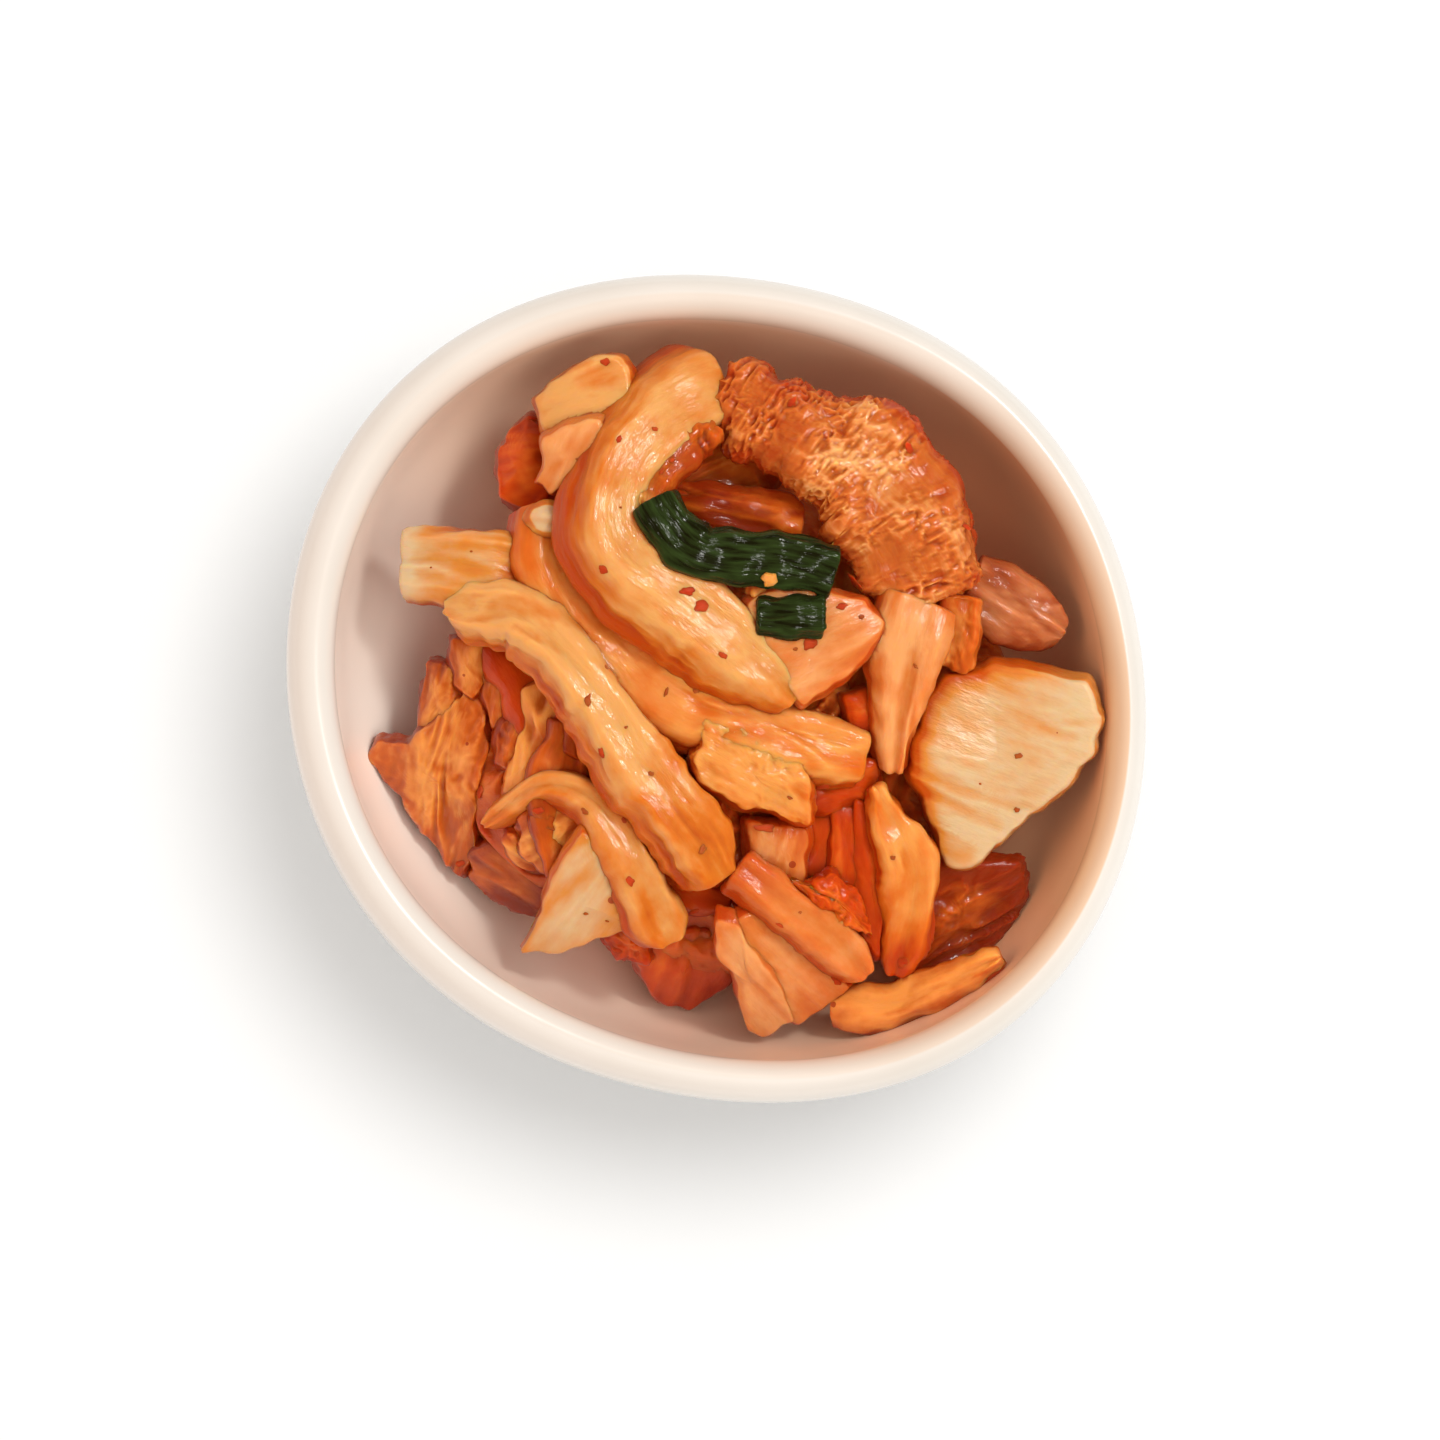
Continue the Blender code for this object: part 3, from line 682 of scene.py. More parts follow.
    # a thin paler line along the top edges: painted highlight
    soak_and_shading = soak_and_shading - 0.12 * np.exp(-((np.abs(across) - 0.88) / 0.06) ** 2) * (height > 0.6)
    piece = skin(name, rings, finish, grain=grain + seed * 11.0, stain=soak_and_shading)
    food.append(piece)
    return piece


LEFT_PINK_LEAF = (
    (-32.9, 4.0, 24.5, 0.75), (-29.8, 3.2, 26, 0.65), (-27.8, 0.2, 25.5, 0.65),
    (-30.5, -3.3, 24.5, 0.7), (-34.0, -5.2, 22.5, 0.75),
)
LEFT_LEAF = (
    (-39.8, -7.0, 20, 0.35), (-38.3, -5.1, 21.5, 0.35), (-34.8, -6.0, 23, 0.45),
    (-32.9, -3.8, 24.5, 0.5), (-30.5, -1.8, 25.5, 0.45), (-28.1, 0.9, 26.5, 0.45),
    (-26.7, -1.4, 26.5, 0.5), (-25.7, -6.0, 26, 0.5), (-27.0, -9.4, 25, 0.5), (-27.1, -13.9, 23, 0.6),
    (-26.7, -18.3, 20.5, 0.75), (-28.6, -21.0, 18, 0.85), (-30.5, -18.9, 18, 0.7),
    (-33.0, -15.4, 19, 0.6), (-35.8, -11.7, 19.5, 0.5), (-38.1, -9.2, 19.5, 0.4),
)
LEFT_STRIP = (
    (-30.5, 6.3, 27.5, 0.5), (-26.7, 6.4, 28.5, 0.5), (-26.4, 1.0, 28, 0.5), (-27.8, -0.8, 27, 0.45),
    (-30.2, 1.1, 26.5, 0.5),
)
LEFT_DARK_STRIP = (
    (-27.0, 7.2, 28.5, 0.6), (-23.4, 7.4, 29, 0.7), (-22.8, 1.9, 28.5, 0.8), (-23.9, -4.5, 27, 0.8),
    (-25.5, -4.0, 26.5, 0.6), (-26.6, 1.0, 27.5, 0.55),
)
INNER_FOLD = (
    (-22.3, 0.5, 30.5, 0.25), (-18.8, 0.6, 31.5, 0.3), (-14.7, -3.8, 32, 0.4), (-14.1, -9.1, 32, 0.45),
    (-17.2, -10.6, 31.5, 0.45), (-20.2, -10.5, 30.5, 0.35), (-23.1, -12.9, 29, 0.3),
    (-24.0, -11.8, 28.5, 0.25), (-22.7, -6.3, 29.5, 0.2), (-21.9, -2.8, 30, 0.15),
)
INNER_FOLD_PALE = (
    (-24.4, -3.0, 28.5, 0.8), (-21.6, -2.0, 29, 0.8), (-21.2, -5.8, 29, 0.85), (-22.5, -9.2, 28, 0.9),
    (-25.2, -8.1, 27.5, 0.95), (-25.2, -4.6, 28, 0.85),
)
LEAF_UNDER_ARCH = (
    (-22.8, -14.9, 29, 0.45), (-20.2, -12.8, 31, 0.4), (-17.3, -12.1, 32, 0.45),
    (-14.2, -14.7, 32, 0.5), (-16.1, -18.0, 30, 0.55), (-18.9, -20.9, 27.5, 0.5),
    (-22.0, -18.9, 27.5, 0.45),
)
CURLED_END = (
    (-23.8, -16.6, 26.5, 0.3), (-21.5, -16.1, 27.5, 0.4), (-19.0, -18.1, 27.5, 0.6),
    (-17.9, -20.7, 26, 0.7), (-20.3, -20.8, 25, 0.5), (-22.9, -19.4, 25.3, 0.3),
)
# stained near full: a soaked leaf end, darkened further as painted shade
DARK_LEAF_END = (
    (-27.6, -18.2, 20, 0.9), (-24.2, -16.9, 22.5, 0.9), (-19.2, -19.1, 24.5, 0.95),
    (-18.5, -23.6, 22.5, 1), (-20.4, -25.4, 20, 1), (-23.9, -23.3, 18.5, 0.95),
    (-27.4, -21.4, 17.5, 0.9),
)
# a leaf in the hollow inside the arch, stained near full: soaked, and darkened further as painted shade
HOLLOW_BACK = (
    (-5.8, 23.6, 34, 0.95), (-5.3, 29.6, 34, 0.95), (-1.2, 34.8, 33, 0.9), (5.4, 35.3, 33, 0.9),
    (8.8, 29.1, 34, 0.9), (6.7, 23.0, 34.5, 0.95), (0.1, 21.9, 35, 0.95),
)
fold_finish = cabbage_finish("soaked_leaf", (226, 152, 74), (192, 92, 22), (140, 42, 5), specks=0.1)
leaf_relief = dict(lumps=(4.0, 0.4), creases=(1.8, 0.12), contrast=0.25)
slab("left_pink_leaf", LEFT_PINK_LEAF, 2.0, fold_finish, 2, turn=70.0, folds=(1.7, 0.35), **leaf_relief)
slab("left_leaf", LEFT_LEAF, 3.0, fold_finish, 3, turn=72.0, folds=(1.9, 0.45), **leaf_relief)
slab("left_strip", LEFT_STRIP, 2.0, fold_finish, 4, turn=85.0, folds=(3.0, 0.2), **leaf_relief)
slab("left_dark_strip", LEFT_DARK_STRIP, 2.0, fold_finish, 5, turn=80.0, folds=(2.2, 0.3), **leaf_relief)
slab("dark_leaf_end", DARK_LEAF_END, 2.0, fold_finish, 6, turn=-20.0, folds=(2.2, 0.4), **leaf_relief)
slab("inner_fold", INNER_FOLD, 2.5, fold_finish, 7, turn=80.0, folds=(2.2, 0.4), **leaf_relief)
slab("inner_fold_pale", INNER_FOLD_PALE, 2.0, fold_finish, 8, turn=70.0, folds=(2.5, 0.3), **leaf_relief)
slab("leaf_under_arch", LEAF_UNDER_ARCH, 2.5, fold_finish, 9, turn=40.0, folds=(1.8, 0.35), **leaf_relief)
slab("hollow_back", HOLLOW_BACK, 2.0, fold_finish, 52, turn=20.0, folds=(2.4, 0.4), **leaf_relief)
slab("curled_end", CURLED_END, 1.5, fold_finish, 10, turn=-30.0, folds=(1.6, 0.3), **leaf_relief)


# ---------------------------------------------------------------- Low pieces at the front and sides
# Short slices and leaf ends that have slid down to the wall: a slice deep at the front, a leaf along
# the front right wall, a curled leaf at the right and a rounded stem end at the back left.
LEAF_ON_WALL = (
    (24.9, -19.7, 31, 1.3), (31.1, -19.6, 30, 1.3), (36.4, -19.5, 29, 1.25), (37.2, -23.4, 27, 1.15),
    (34.4, -27.9, 25.5, 1.15), (29.4, -31.6, 24.5, 1.15), (24.5, -32.5, 25, 1.2),
    (24.7, -26.5, 28, 1.3),
)
BOTTOM_SLICE = (
    (-8.4, -29.8, 24, 0.8), (-4.9, -27.8, 25, 0.8), (-2.5, -27.6, 25.5, 0.65), (0.5, -27.4, 25.5, 0.55),
    (2.1, -30.3, 24, 0.6), (3.2, -33.2, 21.5, 0.75), (1.0, -35.4, 19, 0.75), (-1.3, -36.7, 17.5, 0.8),
    (-4.8, -35.3, 18.5, 0.8), (-7.5, -32.8, 21, 0.8),
)
RED_BITS = (
    (-12.0, -27.4, 26.5, 0.7), (-8.8, -26.0, 28, 0.5), (-6.8, -28.1, 27.5, 0.6),
    (-6.8, -31.0, 25.5, 0.8), (-9.2, -31.2, 25, 0.9), (-12.1, -29.2, 25.5, 0.9),
)
RED_BACK = (
    (10.5, -9.6, 36, 0.7), (14.1, -8.2, 36.4, 0.6), (18.8, -8.2, 36, 0.55), (19.2, -12.9, 34.5, 0.6),
    (14.5, -14.1, 34.5, 0.65), (10.8, -13.9, 35, 0.8),
)
RED_LEFT = (
    (10.7, -12.9, 33, 0.85), (14.3, -13.5, 33, 0.8), (14.4, -17.8, 32.5, 0.85),
    (14.1, -22.7, 31.5, 0.8), (10.8, -21.3, 32, 0.85),
)
RED_MID = (
    (13.5, -13.3, 34.6, 0.45), (16.9, -13.1, 34.6, 0.5), (16.8, -18.9, 33.8, 0.5),
    (16.4, -22.8, 32.8, 0.6), (13.3, -22.4, 33, 0.6),
)
RED_RIGHT = (
    (16.2, -12.5, 35.4, 0.7), (19.3, -13.3, 35.2, 0.75), (20.5, -20.9, 33.6, 0.8),
    (19.7, -25.8, 32.4, 0.85), (19.7, -30.8, 30.5, 0.85), (17.5, -28.8, 31.5, 0.8),
    (16.1, -22.9, 33, 0.75),
)
ROUND_END = (
    (-25.2, 23.0, 31, 0.6), (-25.5, 28.0, 31.5, 0.6), (-24.0, 30.2, 31.5, 0.6), (-21.8, 32.6, 32, 0.65),
    (-19.5, 30.3, 33, 0.7), (-18.9, 26.7, 33, 0.75), (-19.5, 22.3, 32.5, 0.8),
    (-21.8, 20.9, 31.5, 0.75),
)
WALL_LEAF = (
    (14.3, -36.0, 27, 1.8, 0, 0.25), (18.1, -36.4, 28.5, 2.7, 0, 0.15),
    (22.1, -36.2, 29.5, 2.5, 0, 0.15), (26.2, -34.6, 31.5, 2.4, 0, 0.15),
    (30.0, -32.6, 34, 1.9, 0, 0.1), (32.9, -31.0, 36, 0.7, 0, 0.15),
)
SIDE_LEAF = (
    (29.5, 12.5, 37.8, 3.4, 0, 0.4), (33.6, 10.5, 37.2, 4.6, 0, 0.35), (37.2, 8.5, 36.4, 3.8, 0, 0.3),
    (41.0, 6.8, 35.4, 1, 0, 0.3),
)
ORANGE_CRINKLE = (
    (28.0, 10.6, 41, 2.8, 0, 0.5), (27.5, 6.2, 40, 3.4, 0, 0.45), (26.3, 2.4, 38.8, 2.6, 0, 0.5),
)
red_finish = cabbage_finish("red_soaked_cabbage", (212, 106, 30), (194, 70, 8), (160, 40, 2))
side_finish = cabbage_finish("clear_pink_leaf", (190, 120, 76), (164, 82, 40), (140, 54, 18))
slab("leaf_on_wall", LEAF_ON_WALL, 2.0, fold_finish, 11, turn=40.0, folds=(2.4, 0.4), lumps=(4.0, 0.4),
     creases=(1.8, 0.12), contrast=0.1)
slab("bottom_slice", BOTTOM_SLICE, 3.0, red_finish, 12, turn=80.0, folds=(4.0, 0.3), lumps=(4.0, 0.3))
slab("red_bits", RED_BITS, 2.5, red_finish, 13, lumps=(2.0, 0.5), creases=(1.2, 0.3))
slab("red_slice_back", RED_BACK, 3.0, red_finish, 14, lumps=(3.0, 0.5), creases=(2.0, 0.15))
slab("red_slice_left", RED_LEFT, 3.0, red_finish, 15, turn=90.0, lumps=(3.0, 0.3))
slab("red_slice_mid", RED_MID, 3.0, red_finish, 16, turn=90.0, lumps=(3.0, 0.3))
slab("red_slice_right", RED_RIGHT, 3.0, red_finish, 17, turn=100.0, lumps=(3.0, 0.3))
slab("round_end", ROUND_END, 4.0, red_finish, 18, crown=1.0, soft=2.0, **leaf_relief)
wall_relief = dict(lumps=(4.0, 0.4), creases=(1.8, 0.15))
rib("wall_leaf", WALL_LEAF, 1.6, fold_finish, 19, pleats=(1.0, 0.4), edge=0.5, blunt=0.5, **wall_relief)
rib("side_leaf", SIDE_LEAF, 1.6, side_finish, 50, pleats=(1.0, 0.5), edge=0.5, blunt=0.5, **wall_relief)
rib("orange_crinkle", ORANGE_CRINKLE, 2.5, fold_finish, 51, edge=0.6, lumps=(3.0, 0.5), creases=(1.3, 0.3),
    pull=(1.5, 1.0, 1.0))


# ---------------------------------------------------------------- Buried pieces
# Cut ribs and leaf ends that lie every way in the middle of the heap, under the ones on top. Only
# their backs and corners show through the gaps, orange with juice.
BURIED = 22
BURIED_REACH = 23.0
BURIED_TURN = 2.4  # from each to the next, in radians, so that no two lie one above the other
BURIED_THICK = 2.0
BURIED_SPACING = 0.5
for number in range(BURIED):
    turn = number * BURIED_TURN
    reach = BURIED_REACH * math.sqrt((number + 0.5) / BURIED)
    chance = number * 0.7549 % 1.0
    heading = turn + math.radians(50.0 + 80.0 * chance)
    length = 6.0 + 4.0 * chance
    half = 2.8 + 2.2 * (number * 0.618 % 1.0)
    level = 34.5 - 8.5 * (reach / 31.0) ** 2 - 1.5 * chance
    middle = np.array([reach * math.cos(turn) - 1.5, reach * math.sin(turn) - 1.5, level])
    step = np.array([math.cos(heading), math.sin(heading), 0.25 * (chance - 0.5)]) * length
    bow = np.array([-math.sin(heading), math.cos(heading), 0.3]) * 2.5 * (chance - 0.4)
    rows = [
        (*(middle - step), half * 0.8, 0.0, 0.75),
        (*(middle + bow), half, 20.0 * (chance - 0.5), 0.5),
        (*(middle + step), half * 0.85, 0.0, 0.7),
    ]
    buried_finish = (fold_finish, red_finish)[number % 2]
    rib("buried_%02d" % (number + 1), rows, BURIED_THICK, buried_finish, 60 + number, fullness=6.0,
        edge=0.8, cup=(0.8, -0.8)[number % 2], lumps=(5.0, 0.6), creases=(2.2, 0.2), spacing=BURIED_SPACING)


# ---------------------------------------------------------------- Cut slabs of the thick white ribs
# Flat pieces cut across the base of the leaves, three to four millimetres thick, with straight cut
# sides. The flesh is pale, and the sides and corners are orange where juice has soaked in; the sides
# are painted deeper still, as shade.
PALE_SQUARE = (
    (24.1, -0.9, 38.2, 0.9), (26.4, 1.4, 38.6, 1.05), (31.8, 2.6, 38.8, 0.9), (37.7, 2.0, 39.8, 0.45),
    (42.6, 0.8, 40.6, 0.1), (44.3, -3.4, 40.2, 0), (43.3, -7.3, 39.2, 0), (39.6, -11.8, 37.6, 0),
    (34.9, -16.2, 35.6, 0), (30.1, -20.3, 33.8, 0.05), (27.1, -20.2, 33.4, 0.2), (25.0, -14.5, 35, 0.7),
    (22.7, -9.9, 36.8, 0.95), (22.9, -5.6, 37.8, 1.05),
)
CORNER_HIGH = (
    (-21.6, 33.6, 37.5, 0.18), (-19.3, 35.2, 38.5, 0.03), (-16.4, 37.0, 39.6, 0.03),
    (-13.7, 38.1, 40, 0.13), (-11.8, 37.5, 40.2, 0.28), (-10.5, 35.2, 40.4, 0.18),
    (-11.0, 32.2, 40.6, 0.08), (-14.3, 30.2, 40, 0.03), (-17.4, 29.1, 39, 0.03),
    (-19.7, 28.0, 38, 0.13),
)
CORNER_LOW = (
    (-20.7, 28.2, 40.5, 0.3), (-17.6, 29.5, 41.5, 0.25), (-14.1, 30.2, 42.5, 0.25),
    (-13.2, 27.9, 42.1, 0.3), (-14.9, 25.6, 41.1, 0.3), (-17.0, 23.1, 39.9, 0.4),
    (-19.6, 21.7, 38.5, 0.4), (-21.8, 23.2, 38, 0.4), (-20.9, 25.1, 39.1, 0.35),
)
PINK_SLICE = (
    (3.6, -15.5, 35.6, 0.67), (10.6, -16.0, 35.6, 0.62), (10.5, -19.9, 34.6, 0.47),
    (10.1, -22.4, 33.8, 0.52), (4.2, -20.0, 34.8, 0.47),
)
SMALL_TRIANGLE = (
    (-15.7, -16.8, 35.6, 0.47), (-18.0, -20.4, 33.2, 0.37), (-19.8, -25.6, 29.7, 0.37),
    (-21.9, -30.2, 26.2, 0.42), (-17.7, -30.3, 26.6, 0.42), (-13.3, -29.2, 28.6, 0.37),
    (-10.3, -28.1, 30.2, 0.42), (-8.2, -27.4, 31.6, 0.42), (-8.8, -22.9, 33.7, 0.42),
    (-11.3, -19.4, 35.2, 0.47),
)
WEDGE_LEFT = (
    (0.1, -26.7, 35.5, 0.5), (0.5, -31.1, 32.5, 0.35), (2.4, -32.7, 31, 0.3), (3.6, -36.2, 27.5, 0.3),
    (4.9, -39.4, 24.5, 0.3), (6.4, -39.8, 24.3, 0.3), (10.2, -38.2, 26.2, 0.2),
    (8.4, -35.1, 29.6, 0.15), (6.1, -32.5, 32.2, 0.15), (3.5, -29.6, 34.4, 0.2),
    (2.5, -27.5, 35.6, 0.3),
)
WEDGE_RIGHT = (
    (2.3, -26.9, 35.4, 0.6), (5.1, -25.7, 35.4, 0.6), (9.4, -28.2, 33.4, 0.6),
    (13.1, -31.2, 31.2, 0.65), (16.7, -34.3, 28.7, 0.5), (13.8, -36.7, 27, 0.45),
    (10.8, -38.7, 25.4, 0.4), (9.3, -37.3, 27.2, 0.4), (6.9, -33.3, 31.2, 0.45),
    (4.3, -30.0, 33.8, 0.45),
)
ORANGE_SLICE = (
    (14.7, -0.9, 37.6, 0.6), (18.4, 0.5, 37.8, 0.6), (18.9, -5.5, 36.8, 0.65), (15.2, -4.8, 37, 0.6),
)
PINK_BIT = (
    (-21.7, 20.5, 38.4, 0.1), (-17.7, 20.8, 38.8, 0.1), (-16.8, 19.4, 38.9, 0.15),
    (-18.3, 18.0, 38.5, 0.1), (-20.5, 17.5, 38.2, 0.1), (-21.9, 19.3, 38.2, 0.1),
)
GLINTING_SLICE = (
    (7.6, -21.5, 36.4, 0.5), (11.0, -22.7, 36.6, 0.5), (14.2, -21.4, 35.6, 0.55),
    (16.7, -23.4, 34.8, 0.6), (18.7, -28.5, 33.4, 0.6), (15.3, -27.0, 35, 0.5),
    (11.1, -24.9, 36.4, 0.5),
)
pale_finish = cabbage_finish("pale_rib", (212, 158, 92), (200, 112, 30), (178, 66, 3))
square_finish = cabbage_finish("pale_base", (204, 178, 138), (204, 134, 56), (186, 80, 8), streaks=0.12,
                               blotches=0.45, mottles=0.25)
tan_finish = cabbage_finish("tan_rib", (216, 148, 74), (204, 106, 26), (178, 58, 3))
pink_finish = cabbage_finish("clear_rib", (216, 154, 96), (204, 116, 50), (180, 66, 10))
slab("glinting_slice", GLINTING_SLICE, 3.0, red_finish, 20, turn=-35.0, lumps=(3.0, 0.4),
     creases=(1.4, 0.25))
slab("small_triangle", SMALL_TRIANGLE, 3.0, square_finish, 21, turn=60.0)
slab("pink_slice", PINK_SLICE, 2.5, pink_finish, 22, turn=80.0)
slab("wedge_right", WEDGE_RIGHT, 2.0, pink_finish, 23, turn=-50.0)
slab("wedge_left", WEDGE_LEFT, 2.2, pink_finish, 24, turn=-65.0)
slab("corner_chunk_low", CORNER_LOW, 3.0, pink_finish, 25, turn=60.0)
slab("corner_chunk_high", CORNER_HIGH, 3.0, pale_finish, 26, turn=20.0)
slab("pale_square", PALE_SQUARE, 4.0, square_finish, 27, turn=-20.0, crown=0.8, soak=9.0, fibres=(1.0, 0.03),
     lumps=(9.0, 0.4))
slab("orange_slice", ORANGE_SLICE, 3.0, red_finish, 28)
slab("pink_bit", PINK_BIT, 1.6, square_finish, 29)


# ---------------------------------------------------------------- Long ribs
# Leaf ribs cut lengthways, three to six millimetres thick, bent over one another, with two flat cuts
# caught among them. The one that arches over the back is the highest, and the one down the front is
# the brightest.
LEFT_BLOCK = (
    (-36.7, 14.8, 32.6, 4.1, 0, 0), (-32.1, 14.6, 34, 4.3, 0, 0.4), (-27.1, 14.1, 35, 4.2, 0, 0.5),
    (-20.1, 12.8, 35.6, 4, 0, 0.6),
)
LONG_BAND = (
    (-19.2, 21.7, 36.6, 3.8, 0, 0.4), (-18.6, 15.0, 37.4, 4.4, 0, 0.3),
    (-15.9, 9.4, 37.9, 4.8, 5, 0.25), (-11.7, 4.9, 38.4, 4.8, 5, 0.25), (-7.1, 0.7, 38.9, 4.6, 5, 0.3),
    (-2.3, -2.2, 39.2, 4.4, 0, 0.35), (2.7, -3.9, 39.4, 4, 0, 0.3), (7.7, -5.6, 39.5, 3.6, 0, 0.25),
    (12.7, -6.9, 39, 3.3, 0, 0.15), (17.3, -7.8, 38, 2.4, 0, 0.3),
)
LOW_ARCH = (
    (-26.6, -15.7, 27.5, 0.53, 0, 0.43), (-24.0, -13.7, 30, 1.23, 0, 0.33),
    (-20.9, -11.6, 33, 1.41, 0, 0.33), (-17.3, -11.7, 34.8, 1.76, 0, 0.28),
    (-14.1, -13.6, 35.8, 2.29, 0, 0.33), (-11.5, -16.8, 36.2, 2.55, 0, 0.31),
    (-9.3, -20.4, 35.8, 2.55, 0, 0.28), (-7.6, -24.0, 34.8, 2.73, 0, 0.23),
    (-6.0, -26.9, 33.4, 2.99, 0, 0.33), (-4.8, -29.7, 32, 1.76, 0, 0.43),
)
FINGER = (
    (2.2, -20.8, 37.8, 2.2, 0, 0.75), (5.9, -23.6, 37.8, 2.5, 0, 0.47),
    (9.8, -26.2, 36.8, 2.5, 0, 0.42), (13.4, -28.7, 35.2, 2.7, 0, 0.37),
    (16.5, -31.4, 33.2, 2.2, 0, 0.37), (18.1, -33.1, 32.2, 1, 0, 0.47),
)
BLADE = (
    (18.1, -11.4, 38.2, 0.7, 0, 0.2), (20.2, -15.7, 37.4, 2.4, 0, 0.15),
    (22.6, -20.6, 36, 3.4, -8, 0.25), (22.9, -25.0, 34, 3.3, -8, 0.4),
    (22.1, -29.3, 31.5, 2.9, 0, 0.75), (21.5, -32.9, 29.2, 1.1, 0, 0.95),
)
CLEAR_STRIP = (
    (23.4, 9.9, 42.8, 4.4, 0, 0.38), (21.9, 5.4, 42.4, 4.5, 0, 0.28), (21.2, 0.5, 41.4, 3.7, 0, 0.28),
    (20.8, -3.4, 40.2, 2.8, 0, 0.33), (20.7, -6.5, 38.8, 2.1, 0, 0.38), (20.6, -9.9, 37, 1.1, 0, 0.48),
)
FRONT_STEM = (
    (-32.1, 9.4, 34, 1.2, 0, 0.26), (-29.7, 9.2, 35.5, 2.6, 0, 0.11), (-26.8, 9.0, 37, 3.1, 0, 0.11),
    (-23.7, 8.5, 38.3, 3.1, 0, 0.08), (-20.4, 6.1, 39.3, 3.2, 0, 0.06), (-17.5, 2.9, 40, 3, 0, 0.08),
    (-14.7, -0.4, 40.4, 2.9, 0, 0.11), (-12.3, -3.9, 40.6, 3, 0, 0.11),
    (-9.9, -7.9, 40.8, 3.3, 0, 0.21), (-7.0, -11.7, 40.8, 3.6, 0, 0.31),
    (-4.1, -15.4, 40.3, 3.9, 0, 0.41), (-1.3, -18.8, 39.3, 3.9, 0, 0.51),
    (1.0, -22.2, 37.6, 2.4, 0, 0.66),
)
ARCH_STEM = (
    (0.8, 35.1, 39.5, 4.2, 0, 0.51), (-2.1, 33.9, 41, 4.7, 0, 0.26), (-6.1, 31.1, 42.6, 4.4, 0, 0.16),
    (-9.2, 27.8, 43.6, 4.1, -3, 0.16), (-11.7, 24.2, 44, 3.5, -6, 0.18),
    (-12.9, 19.8, 44.3, 3.2, -8, 0.21), (-12.1, 15.9, 44.6, 3.5, -8, 0.18),
    (-9.6, 12.9, 44.7, 3.9, -6, 0.14), (-5.7, 10.1, 44.6, 4.4, -5, 0.09),
    (-1.7, 7.2, 44.3, 4.4, -4, 0.09), (2.2, 3.9, 43.7, 3.8, -4, 0.12), (5.6, 0.8, 43, 2.6, -4, 0.18),
    (8.5, -2.3, 42.2, 0.9, -4, 0.36),
)
CENTRE_BLOCK = (
    (-1.8, -4.1, 39.6, 0.1), (2.1, -4.8, 40, 0.05), (4.1, -6.6, 40.2, 0.05), (8.1, -8.6, 40, 0.1),
    (9.8, -9.8, 39.8, 0.1), (10.7, -12.8, 39, 0.2), (10.7, -16.0, 37.4, 0.45), (6.8, -14.8, 38, 0.45),
    (2.7, -14.2, 38.6, 0.25), (-0.8, -12.5, 39, 0.2), (-3.2, -10.1, 39.2, 0.15),
    (-2.4, -6.8, 39.5, 0.05),
)
PALE_FLAP = (
    (2.3, 9.0, 44, 0.27), (8.2, -1.5, 42.6, 0.32), (9.4, -2.8, 42, 0.37), (13.5, 0.5, 42.7, 0.47),
    (17.4, 4.1, 43.3, 0.42), (18.7, 7.0, 43.6, 0.37), (16.5, 9.8, 43.8, 0.37), (11.1, 10.8, 44, 0.37),
    (6.1, 10.6, 44.2, 0.32),
)
TORN_SKIN = (
    (-0.6, 30.1, 41.5, 1.2, 0, 0.6), (-3.3, 28.0, 42.2, 1.8, 0, 0.65), (-5.6, 25.6, 42.8, 1.9, 0, 0.6),
    (-7.8, 23.3, 43.2, 1.9, 0, 0.45), (-9.1, 20.2, 43.6, 1.6, 0, 0.15), (-8.8, 16.8, 44, 1.4, 0, 0.1),
    (-7.5, 14.4, 44.2, 0.8, 0, 0.2),
)
rib("left_block", LEFT_BLOCK, 4.0, square_finish, 30, fullness=7.0)
rib("long_band", LONG_BAND, 4.2, tan_finish, 31, flare=(0.4, 1.5))
slab("centre_block", CENTRE_BLOCK, 4.0, tan_finish, 32, turn=-30.0, lumps=(3.0, 0.4), creases=(1.5, 0.2))
rib("low_arch", LOW_ARCH, 3.0, pale_finish, 33, flare=(0.4, 1.2))
rib("finger", FINGER, 3.6, pink_finish, 34, flare=(0.4, 0.9))
rib("blade", BLADE, 2.6, tan_finish, 35)
rib("clear_strip", CLEAR_STRIP, 2.4, pink_finish, 36, flare=(0.3, 1.2))
rib("front_stem", FRONT_STEM, 4.5, pale_finish, 37, edge=0.9, rims=(0.2, 0.1), flare=(0.4, 1.8),
    section=((-1.0, -0.5), (-0.6, 0.15), (0.1, -0.2), (0.5, 0.1), (0.75, 0.35), (1.0, -0.4)))
slab("pale_flap", PALE_FLAP, 2.6, pink_finish, 38, turn=30.0)
rib("torn_skin", TORN_SKIN, 1.4, fold_finish, 49, lumps=(2.5, 0.4), creases=(1.1, 0.35), edge=0.8,
    pull=(1.0, 1.8, 1.0))
rib("arch_stem", ARCH_STEM, 6.0, pale_finish, 39, rims=(-0.05, 0.3), flare=(0.4, 2.4), lumps=(6.0, 0.35),
    section=((-1.0, -0.1), (-0.8, 0.3), (-0.2, 0.0), (0.4, 0.3), (0.8, 0.2), (1.0, -0.5)))


